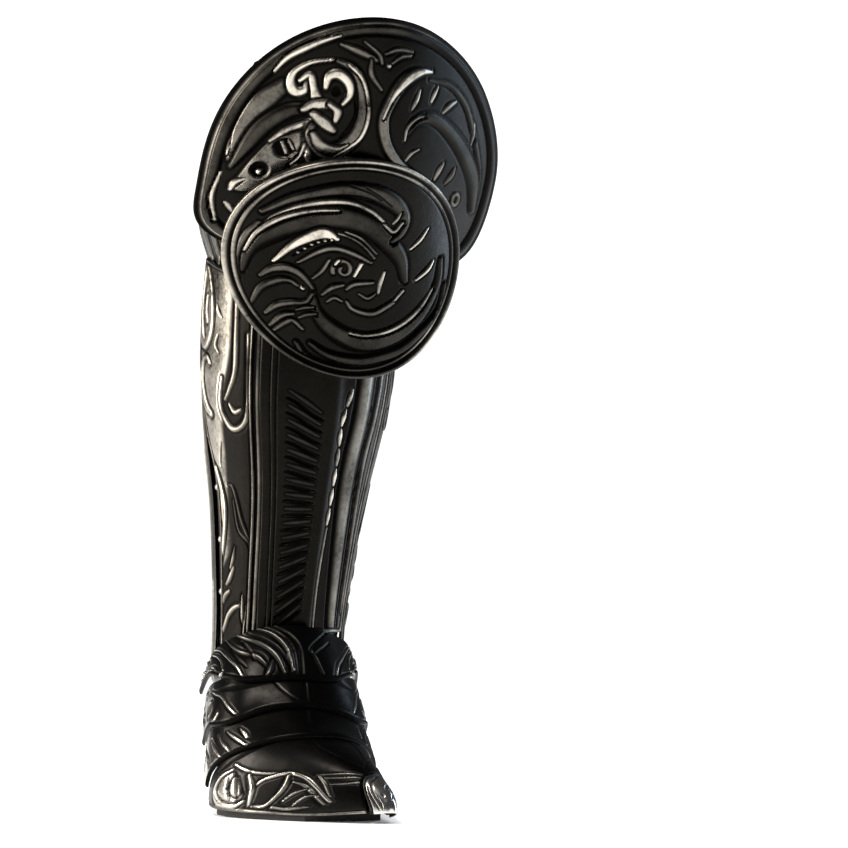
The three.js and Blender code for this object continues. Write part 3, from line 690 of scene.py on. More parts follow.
# %% The rolled border of the fan
fan.clear(smooth((15 - fan_edge) / 1.5))
fan.rim(fan_edge, 9.2, high=2.6, deep=0.8, ditch=2.4, at=4.6, bright=0.10)
fan.rim(fan_edge, 3.4, high=2.0, deep=0.2, ditch=0.8, bright=0.0)
fan.dark = np.maximum(fan.dark, smooth((3.6 - fan_edge) / 0.8))
fan.rim(fan_edge, 1.0, high=2.6, deep=0.0, ditch=0.6, at=4.4, bright=0.9)
# Painted shade: the inner half, away from the warm light, is darkened, and its border loses most of its shine.
fan.shine *= mix(1, 0.15, smooth((fan_x - 10) / 60) * smooth((15 - fan_edge) / 1.5))
fan.dark = np.maximum(fan.dark, 0.6 * smooth((fan_x - 10) / 60))
# Painted highlights: a bright crescent inside the border at the upper outer side, and a glint on the border's
# outer side.
fan.band(line((-84, 628, 0.7), (-74, 639, 2.2), (-60, 647, 2.9), (-46, 653, 2.2), (-32, 657, 0.7)),
         line((-121, 544, 0.6), (-124, 524, 1.5), (-118, 504, 0.6)), high=2.2, deep=0.3, ditch=1.2, bright=2)
shell("knee_fan_chased", fan_face, fan, 3, (20, 150, 537), BLACK, ["knee_fan"])

# %% [markdown]
# The round guard is a slightly domed disc that leans back at the top. Its field
# is one whirl: wide arms that start at the rim and wind towards an eye.

# %% The round guard's surface
DISC_FORWARD, DISC_HEIGHT, DISC_HALF, DISC_RISE = 149, 461.5, 108.5, 100
DISC_WRAP = 43
DISC_LEAN = np.radians(21.5)
DISC_EDGE_REACH = 106


def disc_point(reach, turn):
    """Across and up are an oval; the surface drops with the square of across, then
    leans back by 21.5 degrees, and each place shifts sideways as it rises."""
    a, u = DISC_HALF * reach * np.cos(turn), DISC_RISE * reach * np.sin(turn)
    out_ = -DISC_WRAP * (a / DISC_HALF) ** 2
    forward = DISC_FORWARD + u * np.sin(DISC_LEAN) + out_ * np.cos(DISC_LEAN)
    height = DISC_HEIGHT + u * np.cos(DISC_LEAN) - out_ * np.sin(DISC_LEAN)
    return a, u, np.stack([along(LEG_LINE, 460.0) - 4 - 0.13 * u + a, -forward, height], -1)


# %% Chasing the round guard
reach, turn = round_grid(249)
disc_a, disc_u, disc_face = disc_point(reach, turn)
disc_edge = (1 - reach) * DISC_EDGE_REACH
disc = Chasing(disc_a, disc_u)
disc.band(line((-51, -70, 2), (-43, -82, 3.4), (-27, -89, 4.4), (-1, -92, 5), (26, -88, 5), (53, -78, 4.6),
               (70, -67, 4), (88, -54, 3.2), (97, -38, 2)),
          line((-40, -69, 2), (-24, -79, 3.8), (-1, -83, 4.6), (20, -81, 4.8), (44, -75, 4.6), (67, -61, 4),
               (84, -46, 3), (91, -24, 1.6)),
          line((-38, -18, 2), (-36, -36, 4), (-27, -50, 6.5), (-11, -61, 8), (9, -66, 8.6), (31, -63, 8.4),
               (52, -54, 7.6), (69, -41, 6), (82, -22, 4), (86, 0, 2)), high=2.2, deep=1.1, ditch=2.4,
          bright=0.08, shoulder=6)
disc.band(line((-6, -58, 0.8), (9, -60, 1.4), (30, -57, 2.0), (49, -49, 2.4), (64, -38, 2.2), (76, -25, 1)),
          high=2.6, deep=0.2, ditch=1, bright=1.3)
disc.band(line((-93, -12, 2), (-88, 8, 5), (-76, 24, 8.5), (-54, 38, 10), (-24, 47, 10.5), (4, 43, 10),
               (26, 27, 8.5), (42, 8, 7), (46, -12, 3.5)), high=2.4, deep=1.1, ditch=2.2, bright=0.06,
          shoulder=8)
disc.band(line((-96, -20, 1.4), (-97, 0, 2), (-90, 20, 2.4), (-80, 33, 2)), high=1.6, ditch=1.6, bright=0.3)
disc.band(line((-78, 44, 2), (-54, 60, 4), (-25, 70, 5.4), (-4, 72, 6.5), (18, 68, 7.5), (36, 58, 7.5),
               (46, 45, 6), (43, 32, 4), (33, 24, 2)), high=2.2, deep=1.1, ditch=2.2, bright=0.12, shoulder=7)
disc.cut(line((-60, 53, 0.8), (-30, 64, 1.2), (0, 66, 1.2), (16, 61, 0.8)),
         line((8, 74, 0.8), (20, 66, 1.2), (32, 56, 0.8)), line((-6, 76, 0.6), (10, 70, 1), (22, 62, 0.7)),
         deep=0.8)

# %% Ropes beside the arms
disc.band(line((-79, 30, 1), (-64, 45, 2.2), (-44, 56, 2.8), (-22, 61, 3), (-4, 60, 2.6), (12, 53, 2.2),
               (25, 42, 1.4)),
          line((-91, 6, 0.8), (-82, 24, 1.8), (-66, 39, 2.4), (-49, 48, 2.6), (-33, 52, 1.8), (-16, 53, 0.8)),
          line((25, 40, 1.2), (34, 33, 2), (43, 40, 1.6)), line((34, 40, 0.8), (38, 44, 1.4), (42, 49, 0.7)),
          high=2.6, deep=0.6, ditch=1.6, bright=1.1)

# %% The eye in the middle
disc.band(line((-69, 1, 1.2), (-54, 18, 3.4), (-38, 29, 5), (-28, 32, 5.4), (-18, 28, 3)), high=2.4, ditch=2,
          bright=1.9)
disc.cut(line((-54, 9, 1.2), (-40, 20, 1.8), (-28, 25, 2), (-20, 24, 1.2)), deep=1.4)
disc.band(*[dot(x, y, 1.1) for x, y in zip(np.linspace(-50, -22, 6),
                                           along([[-50, 12], [-36, 22], [-22, 26]], np.linspace(-50, -22, 6)))],
          high=1.6, deep=0.6, ditch=0.8, bright=1.6)
disc.band(line((-50, 3, 1), (-33, 15, 2.4), (-19, 19, 2.8), (-2, 14, 2.6), (13, 6, 1.2)),
          line((-16, 32, 1), (-6, 30, 2), (6, 22, 1.8), (16, 10, 1)),
          line((-10, 34, 0.8), (4, 28, 1.4), (18, 14, 0.8)), curl(-12, 0, 9.5, 200, -420, 2.2),
          line((-38, -10, 1), (-30, -2, 1.6), (-24, 8, 1)),
          line((-30, -24, 1), (-22, -17, 2.4), (-12, -14, 1.4)),
          line((-9, -18, 1.2), (-2, -13, 2.4), (15, -12, 1.4)),
          line((-26, -30, 0.8), (-20, -26, 1.6), (-13, -29, 0.8)),
          line((-9, -29, 1.2), (-3, -36, 2.2), (14, -40, 2.6), (29, -34, 2.4), (37, -29, 2.2), (44, -22, 1)),
          line((2, -22, 0.8), (10, -26, 1.6), (18, -22, 0.8)), high=2.0, ditch=1.8, bright=0.4)
# Short raised strokes, coloured bright as painted glints.
disc.band(line((-2, -6, 1.2), (4, 5, 1.8)), line((20, -22, 1), (22, -13, 2), (26, -3, 1)),
          line((-19, 4, 1), (-16, 8, 1.4)), line((36, -30, 0.8), (44, -22, 1.6)),
          line((52, 15, 0.9), (62, 22, 1.9), (71, 31, 0.9)), line((58, -14, 1.4), (70, -7, 2.4), (77, 0, 1.2)),
          line((-52, -15, 0.9), (-46, -20, 1.7)), high=2.2, deep=0.8, ditch=1.4, bright=1.9)

# %% Leaves at the outer side
disc.band(line((-79, -14, 1.4), (-70, -6, 3.2), (-60, -3, 3.8), (-51, -5, 3.4), (-44, -11, 2.6),
               (-38, -19, 1.2)),
          line((-86, -40, 1.2), (-79, -25, 2.6), (-67, -16, 3), (-57, -14, 2), (-50, -18, 1.2)),
          line((-75, -47, 1.4), (-66, -38, 3), (-55, -34, 2.8), (-44, -32, 2), (-38, -24, 1.2)),
          line((-72, -58, 1.2), (-62, -47, 2.8), (-54, -44, 1.8)),
          line((-51, -40, 0.8), (-44, -37, 1.8), (-37, -36, 0.8)),
          line((-49, -47, 0.8), (-42, -43, 1.8), (-35, -42, 0.8)),
          line((-69, -62, 1.2), (-60, -53, 2.4), (-54, -50, 2), (-46, -57, 1.2)), high=2.0, ditch=1.8,
          bright=0.3)

# %% The two rims of the guard
# Painted highlight: the shine grows towards the top of the guard.
disc.shine *= mix(0.8, 1.3, smooth((disc_u + 30) / 120))
disc.clear(smooth((11.5 - disc_edge) / 1.2))
disc.rim(disc_edge, 5.0, high=2.6, ditch=1.8, bright=1.0)
disc.rim(disc_edge, 3.0, high=1.8, at=7.4, ditch=1.6, bright=0.7)
# Painted highlight on the two rims: bright towards the upper outer side, with a spot low on the inner side, and
# dim elsewhere.
painted_rim_highlight = (mix(0.12, 1.1, smooth((disc_u - 0.7 * disc_a + 40) / 80))
             + 1.4 * np.exp(-((disc_a - 74) ** 2 + (disc_u + 70) ** 2) / 26 ** 2))
disc.shine *= mix(1, painted_rim_highlight, smooth((12 - disc_edge) / 1.2))
shell("knee_disc_chased", disc_face, disc, 5, (16, 0, 460), BLACK, ["knee_disc"], soften=1.6)

# %% [markdown]
# Between the two, the knee cop is a ring of steel with upright flutes that lean
# over, which stiffen the sheet where it has to swell over the knee.

# %% The knee cop
cop_v, cop_u = grid(73, 321)
spread = 2 * cop_u - 1
cop_turn = 1.86 * spread
cop_height = mix(447, 551 - 46 * np.abs(spread) ** 3, cop_v)
swell = np.maximum(np.sin(np.pi * np.maximum((cop_height - 474) / 77, 0) * 0.86), 0)
cop_face = leg_point(cop_turn, cop_height, -0.2 + 11 * swell)
cop = Chasing(cop_turn * 88, cop_height)
FLUTE_PITCH = 16
for k in range(-9, 10):
    x, lean = FLUTE_PITCH * k, 7 * np.sign(k)
    cop.band(line((x, 452, 3), (x + 0.1 * lean, 480, 4.6), (x + 0.6 * lean, 510, 5),
                  (x + 1.5 * lean, 545, 3.4)), high=1.5, shoulder=5, bright=0.5)
cop_edge = from_edge(cop_face)
cop.clear(smooth((5 - cop_edge) / 1.2)).rim(cop_edge, 3.6, high=1.4)
shell("knee_cop_fluted", cop_face, cop, STEEL, (16, 0, 480), DARK, ["knee_cop"])

# %% [markdown]
# ## The greave
# The shin plate has a keel down the middle. Its outer half has a hatched panel
# and upright ribs, and its inner half has plain flutes, two stripes lightened by a
# painted highlight between black lines.

# %% The shin plate
shin_v, shin_u = grid(345, 161)
spread = 2 * shin_u - 1
shin_turn = 0.82 * np.sign(spread) * np.abs(spread) ** 1.35
shin_height = mix(150, 460, shin_v)
keel = 5 * np.exp(-(shin_turn / 0.11) ** 2)
shin_face = leg_point(shin_turn, shin_height, PLATE_LIFT + keel)
shin = Chasing(shin_turn * 80, shin_height)
HATCH_PITCH = 11.5
for z in np.arange(160, 352, HATCH_PITCH):
    slope = mix(-9, 10, (z - 160) / 190)
    shin.cut(line((38, z + slope, 0.6), (29, z + 0.5 * slope, 1.6), (17, z - 0.5 * slope, 1.9),
                  (7, z - 1.1 * slope, 0.6)), deep=1.3)
    shin.band(line((36, z + 5.6 + slope, 0.8), (22, z + 5.6, 1.8), (9, z + 5.6 - slope, 0.8)), high=0.6,
              deep=0.1, bright=0.05)
shin.cut(line((47, 456, 1.4), (47, 296, 1.6), (42, 154, 1.4)),
         line((53, 456, 0.8), (52, 296, 0.9), (48, 154, 0.8)),
         line((65, 456, 1.0), (65, 296, 1.2), (60, 154, 1)), deep=0.9)
shin.cut(line((-23, 458, 2), (-23, 346, 2.2), (-19, 296, 2.4), (-21, 246, 2.6), (-30, 152, 2)),
         line((-49, 458, 1.6), (-47, 348, 1.8), (-42, 297, 2.0), (-47, 238, 1.8), (-52, 152, 1.2)), deep=1.3)
# The two flutes are rubbed lighter as a painted highlight.
shin.band(line((-35, 458, 8), (-34, 346, 8.6), (-30, 296, 9), (-32, 247, 9), (-40, 152, 7)), high=1.2, deep=0.6,
          shoulder=8, bright=0.4)
shin.band(line((-55, 458, 3), (-53, 348, 3.4), (-49, 298, 3.4), (-54, 238, 3), (-58, 168, 2)), high=1.0,
          deep=0.8, shoulder=4, bright=0.35)
shin.band(line((-12, 242, 1.2), (-9, 196, 2), (-10, 152, 1.6)), high=1.0, bright=0.6)
# Raised dashes down the keel's inner flank, coloured bright as painted glints.
GLINT_DASH_LINE = [[236, -11], [260, -12], [300, -12.5], [330, -12], [360, -19], [380, -22]]
shin.band(*[line((along(GLINT_DASH_LINE, z), z, 1.2), (along(GLINT_DASH_LINE, z + 7), z + 7, 2.5),
                 (along(GLINT_DASH_LINE, z + 13), z + 13, 1)) for z in np.arange(244.0, 362, 17)],
          high=1.4, bright=2, ditch=2)
shin_edge = from_edge(shin_face)
shin.clear(smooth((4.4 - shin_edge) / 1.0)).rim(shin_edge, 3.2, high=1.0, bright=0.5)
shell("shin_plate_chased", shin_face, shin, STEEL, (8, 0, 300), BLACK, ["shin_plate"])

# %% [markdown]
# The side plates lie over the shin plate's edges and carry the richest work: a
# tear-shaped loop at the top, a long hook below it, a leaf that branches to the
# front edge, and a tall U-shaped loop at the ankle. Both plates share one
# design, mirrored, so that a place on it is the turn's size and the height.

# %% The side plates
SIDE_REAR = [[92, 1.45], [200, 1.47], [244, 1.49], [293, 1.56], [325, 1.66], [418, 1.76], [473, 1.68]]
# Where the painted highlight on the side plates begins, as a turn at each height.
PAINTED_HIGHLIGHT_FROM = [[92, 1.55], [192, 1.5], [222, 1.22], [250, 1.24], [300, 1.25], [345, 1.24], [390, 1.13],
               [440, 1.12]]


def side_line(*points):
    """A line on a side plate, given as (turn, height, half width)."""
    return line(*[(80 * turn, height, half) for turn, height, half in points])


SIDE_LINES = [
    side_line((1.22, 116, 1.5), (1.32, 126, 2.6), (1.42, 120, 2), (1.40, 110, 1.2)),
    side_line((1.02, 106, 1.2), (1.10, 124, 2.4), (1.22, 134, 2.6), (1.38, 134, 1.6)),
    side_line((1.44, 148, 1.6), (1.35, 156, 2.6), (1.26, 166, 3), (1.14, 172, 2.6), (1.02, 174, 1.2)),
    side_line((0.96, 156, 0.8), (0.99, 166, 2), (1.00, 182, 0.9)),
    side_line((1.42, 174, 1.4), (1.35, 182, 3), (1.26, 186, 1.6)),
    side_line((1.32, 192, 1.4), (1.24, 198, 2.8), (1.18, 206, 1.6)),
    side_line((1.24, 206, 1), (1.19, 214, 2), (1.16, 224, 0.8)),
    side_line((0.94, 128, 1.0), (0.95, 148, 1.8), (0.92, 173, 0.8)),
    side_line((1.27, 278, 0.8), (1.18, 274, 1.5), (1.06, 249, 1.8), (0.96, 235, 1.4), (0.88, 221, 0.8)),
    side_line((1.19, 264, 0.6), (1.10, 240, 1.2), (0.94, 229, 0.6)),
    side_line((1.58, 298, 1.6), (1.47, 286, 3), (1.36, 260, 3.4), (1.38, 234, 3), (1.44, 212, 1.4)),
    side_line((1.12, 468, 1.6), (1.08, 437, 2), (1.07, 406, 2.2), (1.07, 376, 2.2), (1.15, 359, 1.6),
              (1.21, 351, 1)),
    side_line((1.26, 370, 1.4), (1.29, 350, 2.4), (1.25, 338, 2.6), (1.13, 326, 2.6), (0.99, 328, 2.4),
              (0.91, 341, 2),
              (0.90, 371, 1.6), (0.92, 406, 1.2)),
    side_line((1.15, 347, 0.8), (1.08, 340, 2), (1.00, 342, 0.8)),
    side_line((1.47, 382, 1.6), (1.56, 388, 2.8), (1.65, 380, 3.4), (1.66, 364, 3.8), (1.58, 346, 4),
              (1.47, 338, 3)),
    side_line((1.62, 468, 3), (1.52, 450, 4), (1.47, 430, 4.4), (1.48, 410, 4.6), (1.58, 398, 4.6),
              (1.68, 408, 4.4),
              (1.72, 430, 4), (1.68, 452, 3.4), (1.62, 468, 2.4)),
    side_line((1.55, 418, 2.4), (1.59, 428, 3), (1.58, 440, 2)),
]
SIDE_HOLES = [side_line((1.38, 434, 1.4), (1.33, 427, 2.4), (1.28, 422, 0.8)),
              side_line((1.33, 406, 1.4), (1.36, 398, 2.4), (1.31, 392, 1)),
              side_line((1.33, 314, 0.8), (1.37, 304, 1.8), (1.39, 294, 0.8))]


def side_plate(name, nodes, side, shine):
    """The turn goes from the front edge to the rear edge at each height, and the top
    slopes; side is 1 for the outer plate and -1 for the inner one; shine is the strength
    of the painted highlight on the rear part and on the lines."""
    v, u = grid(401, 85)
    turn = mix(0.86, along(SIDE_REAR, mix(92, 473, v)), u)
    height = mix(92, 473 - 21 * (1 - u), v)
    face = leg_point(side * turn, height, PLATE_LIFT)
    work = Chasing(turn * 80, height)
    # Painted highlight: the part behind this turn is made bright.
    rear = smooth((turn - along(PAINTED_HIGHLIGHT_FROM, height)) / 0.08)
    work.shine = 1.25 * shine * rear
    work.band(*SIDE_LINES, high=1.5, deep=0.9, ditch=2.4, bright=0.3 + 1.7 * shine)
    faint = smooth((height - 205) / 20) * smooth((305 - height) / 20) * smooth((1.36 - turn) / 0.1)
    work.shine *= 1 - 0.85 * faint
    # The part in front of it is darkened.
    work.dark = np.maximum(work.dark, 0.6 * (1 - rear))
    work.cut(*SIDE_HOLES, deep=1.2)
    edge = from_edge(face)
    work.clear(smooth((4.2 - edge) / 1.0)).rim(edge, 3.0, high=1.2, bright=0.25)
    return shell(name, face, work, STEEL, (8, 0, 300), BLACK, nodes)


# The outer plate faces the warm light and gets the full painted highlight; the inner plate gets none.
side_plate("side_plate_outer_chased", ["side_plate_outer"], 1, 1.0)
side_plate("side_plate_inner_chased", ["side_plate_inner"], -1, 0.0)

# %% [markdown]
# The calf plate closes the back and ends in a tongue over the heel. It is rubbed
# much brighter than the rest, with black ground showing between its bands.

# %% The calf plate
CALF_SPREAD = [[99, 0.45], [103, 0.82], [112, 1.05], [130, 1.17], [147, 1.22], [180, 1.27], [212, 1.27],
               [272, 1.22], [329, 1.05], [385, 0.9], [442, 0.82]]
calf_v, calf_u = grid(289, 145)
calf_height = mix(99, 440, calf_v ** 1.3)
calf_turn = (2 * calf_u - 1) * along(CALF_SPREAD, calf_height)
calf_face = leg_point(np.pi + calf_turn, calf_height, PLATE_LIFT + 5 * np.exp(-(calf_height - 99) / 20))
calf = Chasing(calf_turn * 74, calf_height)
calf.band(*mirrored(line((16, 432, 1.5), (30, 424, 3.4), (42, 404, 4), (46, 378, 4), (40, 352, 3.4),
                         (28, 338, 2.4), (20, 346, 1.4)),
                    line((6, 430, 2), (10, 400, 4), (14, 368, 4), (10, 338, 3), (2, 318, 2)),
                    line((30, 392, 1.4), (33, 376, 2.6), (28, 362, 1.6)),
                    line((40, 346, 1.6), (56, 342, 3.4), (62, 326, 3.8), (55, 308, 3.6), (44, 292, 3),
                         (40, 272, 2.4)),
                    line((20, 322, 2), (30, 300, 4), (32, 272, 4.2), (26, 246, 3.8), (12, 228, 3), (0, 218, 2)),
                    line((70, 300, 1.5), (66, 276, 3.4), (60, 252, 3.6), (46, 232, 3.4), (30, 218, 3),
                         (20, 200, 2.4)), line((8, 306, 1.4), (12, 286, 3), (10, 264, 2.8), (4, 248, 1.6)),
                    line((78, 250, 1.5), (76, 225, 3), (72, 200, 3.2), (74, 172, 2.6), (70, 150, 1.6)),
                    ring(44, 186, 17, 26, 3.6), line((38, 172, 1.5), (46, 186, 3.4), (42, 202, 1.6)),
                    line((0, 205, 2), (14, 182, 3.4), (18, 160, 3.2), (10, 142, 2.4), (0, 134, 2)),
                    line((24, 150, 1.5), (40, 146, 2.8), (58, 150, 2)),
                    line((16, 130, 1.4), (34, 134, 2.8), (54, 130, 1.6)),
                    line((12, 118, 1.4), (28, 120, 2.4), (42, 124, 1.4)), dot(60, 138, 2.4), dot(8, 156, 2.4)),
          dot(0, 190, 3.4), dot(0, 236, 3), dot(0, 330, 3.4), high=1.5, deep=0.9, ditch=1.6)
calf_edge = from_edge(calf_face)
calf.clear(smooth((5.4 - calf_edge) / 1.2)).rim(calf_edge, 4.6, high=1.6, bright=1.0)
calf.dark = np.maximum(calf.dark, 0.8 * smooth((np.abs(calf_turn) - 0.95) / 0.2))
shell("calf_plate_chased", calf_face, calf, STEEL, (8, 0, 300), SILVER, ["calf_plate"])

# %% [markdown]
# ## The sabaton
# Five plates cover the foot. Each has a rear and a front edge that sweep back at
# the sides, and lies over the next. The instep plate has ridges like a shell's,
# the lames are plain on top and chased at the sides, and the toe plate has a
# chased border above the sole.

# %% Edges of the foot plates


def foot_edge(top, end, angle, sweep):
    """The place falls from `top` in the middle to `end` at the side with the share's
    power `sweep`, and the angle grows evenly."""
    return lambda u: (top - (top - end) * np.abs(u) ** sweep, np.radians(angle) * u)


INSTEP = foot_edge(81, 4, 66, 2.8), foot_edge(123, 2, 68.5, 3)
LAME_1 = foot_edge(114, 30, 66.5, 3), foot_edge(142, 48, 78, 4)
LAME_2 = foot_edge(133, 41, 76, 4), foot_edge(178, 112, 83.5, 2.2)


def tip_start(angle):
    """The toe cap begins 14 mm further forward at the outer side than in the middle,
    and as much further back at the inner side."""
    return 232 + 14 * np.sin(angle)


TOE = (foot_edge(169, 105, 88.8, 2.2),
       lambda u: (tip_start(np.radians(88.8) * u) - 1.6, np.radians(88.8) * u))


def foot_plate(name, nodes, edges, order, rows, columns, chase, material):
    """A plate between a rear and a front edge, three millimetres lower than the one
    behind it. Its design is drawn in millimetres: across runs along the middle row
    from the top of the foot to the outer side, and up runs from rear to front."""
    v, u = grid(rows, columns)
    (rear_place, rear_angle), (front_place, front_angle) = (edge(2 * u - 1) for edge in edges)
    face = foot_point(mix(rear_place, front_place, v), mix(rear_angle, front_angle, v), 3 * (2.5 - order))
    run = np.cumsum(np.linalg.norm(np.diff(face[rows // 2], axis=0, prepend=face[rows // 2][:1]), axis=-1))
    length = np.linalg.norm(np.diff(face, axis=0), axis=-1).sum(0)
    work = Chasing(run - run[columns // 2], (v - 0.5) * length)
    # Painted highlight: the sides of the instep plate and both lames are made bright beyond 88 mm from the
    # middle.
    work.shine = 1.7 * smooth((np.abs(work.across) - 88) / 8) * (order < 3)
    chase(work, face)
    return shell(name, face, work, LAME, (-10, -100, 20), material, nodes, soften=0.8)


def chase_instep(work, face):
    """Long arcs that sweep from the rear edge over to the front of the middle, a seam,
    a crossed pair of lines on the inner half, and rings on the wings."""
    work.band(line((26, -30, 1), (10, -18, 2.4), (0, -1, 2.6), (-3, 22, 1.4)),
              line((46, -28, 1), (25, -12, 2.4), (10, 7, 2.8), (4, 26, 1.4)),
              line((60, -25, 1), (43, -7, 2), (27, 5, 2.4), (19, 16, 1)),
              line((21, 26, 1), (17, 20, 2.4), (14, 12, 1)), high=1.3, deep=0.9, ditch=2.2, bright=0.3)
    work.cut(line((13, -30, 1), (-3, -17, 1.6), (-10, -1, 1.8), (-9, 25, 1.8)),
             line((35, -27, 0.8), (16, -10, 1.4), (4, 8, 1.6), (-1, 24, 0.9)),
             line((40, -18, 1), (34, -4, 2.4), (30, 9, 0.9)), line((53, -13, 0.8), (45, 4, 2), (37, 15, 0.8)),
             line((-38, -28, 0.8), (-20, -3, 1.5), (-23, 8, 1.4), (-28, 23, 0.8)),
             line((-39, -14, 0.6), (-24, 4, 1.3)), deep=1.2)
    work.band(*mirrored(line((92, -19, 0.7), (67, -11, 1.2), (49, 7, 1.5), (41, 23, 0.9)),
                        line((111, -13, 1.5), (100, -4, 3), (102, 11, 1.2)),
                        line((87, -11, 1), (68, -1, 2), (63, 13, 1)),
                        line((90, 5, 1), (79, 9, 2.2), (76, 20, 1)),
                        line((127, -11, 1), (117, 2, 2.4), (118, 11, 1)),
                        line((141, -11, 1), (133, 0, 1.8), (133, 7, 0.8))), high=1.4, ditch=2.4, bright=2.4)
    # A painted shadow along the front edge.
    return work.painted_shadow_roll(from_edge(face, "b"), 6.0)


def chase_lame_first(work, face):
    """A plain top with a black line painted as the shadow of the plate behind, a slanting
    crease and a painted sheen; a wave, a ring and beads at each side."""
    # Painted shadow: a shallow black groove in front of the plate behind.
    work.cut(line((-59, -10, 2), (-38, -15, 3), (-15, -11, 3), (18, -11, 3.4), (59, -12, 3), (89, -13, 2)),
             deep=0.5)
    # Painted sheen on the top, just to the outer side of the middle.
    work.shine = np.maximum(work.shine, 0.8 * smooth((work.across - 2) / 10) * smooth((34 - work.across) / 26)
                            * smooth((work.up + 12) / 20))
    work.cut(line((16, -9, 1), (9, 1, 1.8), (-1, 12, 1)), line((-12, -10, 0.8), (-9, 13, 1.4)), deep=0.7)
    work.band(*mirrored(line((94, -15, 0.8), (69, -5, 1.3), (58, 7, 1.6), (52, 15, 0.8)),
                        ring(95, 4, 10, 8, 2.0), line((91, 0, 0.8), (99, 5, 1.8), (97, 11, 0.8)),
                        dot(118, -16, 3.4), dot(125, 10, 3), dot(129, 1, 3.2),
                        line((72, 12, 0.8), (80, 20, 1.6), (93, 22, 0.8)),
                        line((134, -12, 1), (139, 3, 2.2), (140, 14, 1))), high=1.2, ditch=2.2, bright=2.6)
    # A painted shadow along the front edge.
    return work.painted_shadow_roll(from_edge(face, "b"), 5.0)


def chase_lame_second(work, face):
    """A plain top with a black line painted as the shadow of the plate behind; bars and leaves fan out at each
    side.
    """
    # Painted shadow: a shallow black groove in front of the plate behind.
    work.cut(line((-56, -20, 2), (-36, -22, 3), (-11, -19, 3.2), (17, -18, 3.4), (54, -17, 3.2), (91, -17, 2)),
             deep=0.5)
    work.cut(line((-7, -15, 0.9), (-2, 6, 0.6)), deep=0.6)
    work.band(*mirrored(line((68, -7, 0.9), (62, 6, 2), (59, 18, 0.9)),
                        line((54, -5, 1), (53, 1, 2), (54, 8, 0.8)),
                        line((96, -2, 0.9), (90, 11, 2.2), (87, 23, 0.9)),
                        line((80, -3, 0.8), (77, 8, 2), (76, 18, 0.8)),
                        line((135, -23, 1), (112, 11, 2.6), (109, 25, 1)),
                        line((143, -25, 1), (132, 3, 2.6), (138, 11, 1)),
                        line((142, -19, 1), (134, 11, 2.2), (141, 18, 1))), high=1.2, ditch=2.4, bright=2.6)
    # A painted shadow along the front edge.
    return work.painted_shadow_roll(from_edge(face, "b"), 5.0)


def chase_toe(work, face):
    """A plain top with a curved lower line, painted black as the shadow of the plate behind; below it
    a ring of bars at the rear, two waves that cross, a leaf between them, flutes at the nose and a bright
    bottom bead."""
    # Painted shadow: a shallow black groove in front of the plate behind.
    work.cut(line((-19, 18, 2), (-21, -16, 3), (4, -34, 3), (31, -49, 3), (49, -58, 3), (68, -70, 2)), deep=0.5)
    work.cut(line((6, -27, 0.5), (8, -8, 0.9), (3, 10, 0.8), (-8, 31, 0.5)), deep=0.4)
    work.band(*mirrored(line((66, -48, 4), (74, -52, 7), (84, -48, 7), (86, -34, 7), (82, -22, 4)),
                        line((68, -40, 4), (75, -34, 6), (80, -26, 4))), high=0.8, bright=1.8)
    work.band(*mirrored(line((55, -55, 0.8), (56, -37, 1.4), (55, -21, 1.6), (50, -4, 1), (44, 9, 0.6)),
                        line((71, -14, 1), (62, -12, 1.8), (56, -7, 2.2), (47, 3, 2.4), (46, 18, 2.4),
                             (53, 33, 2.2), (73, 59, 1.2)),
                        line((60, -52, 1), (72, -63, 2.6), (85, -63, 3.2), (92, -45, 3.2), (92, -23, 2.4),
                             (86, -14, 1.4)),
                        line((59, -30, 0.9), (70, -16, 2.4), (80, -10, 2.2), (89, -6, 1))), high=1.3, ditch=2.4,
              bright=2.4)
    work.cut(*mirrored(line((68, -50, 0.8), (77, -41, 2.0), (87, -31, 0.8)),
                       line((65, -41, 0.8), (74, -31, 2.2), (86, -22, 0.8)),
                       line((61, -47, 0.6), (68, -34, 1.2), (79, -18, 0.6))), deep=1.2)
    work.band(*mirrored(line((90, -2, 1), (88, 10, 2), (75, 14, 2.6), (61, 12, 2.4), (49, 5, 1.2)),
                        line((55, 15, 0.8), (56, 26, 1.8), (64, 40, 2.0), (78, 57, 1)),
                        line((80, 23, 0.8), (68, 26, 1.6), (60, 31, 0.7)),
                        line((85, 34, 0.8), (71, 37, 1.4), (66, 42, 0.7)),
                        line((89, 17, 1), (89, 32, 2), (84, 47, 1))), high=1.3, ditch=2.4, bright=0.9)
    work.band(line((39, 24, 0.8), (26, 33, 1.2), (7, 40, 0.8)),
              line((42, 29, 0.8), (29, 39, 1.2), (11, 44, 0.8)),
              line((48, 39, 0.8), (36, 47, 1.2), (16, 50, 0.8)),
              line((39, 26, 0.8), (48, 39, 1.4), (64, 54, 0.8)), high=1.0, ditch=1.6, bright=0.7)
    edge = from_edge(face, "lr")
    work.clear(smooth((3.0 - edge) / 0.8)).rim(edge, 2.2, high=1.0, bright=1.6)
    work.cut(line((-83, -42, 1.5), (-76, -38, 2), (-2, 37, 2), (10, 55, 1.5)), deep=0.6)


foot_plate("instep_plate_chased", ["instep_plate"], INSTEP, 0, 97, 233, chase_instep, DARK)
foot_plate("lame_first_chased", ["lame_1"], LAME_1, 1, 53, 245, chase_lame_first, DARK)
foot_plate("lame_second_chased", ["lame_2"], LAME_2, 2, 65, 245, chase_lame_second, DARK)
foot_plate("toe_plate_chased", ["toe_plate"], TOE, 3, 141, 217, chase_toe, DARK)

# %% [markdown]
# The point of the toe is a bright cap. It is a closed solid that shrinks to the
# tip, where the last rows are drawn in to the middle of its foot by a quarter circle.

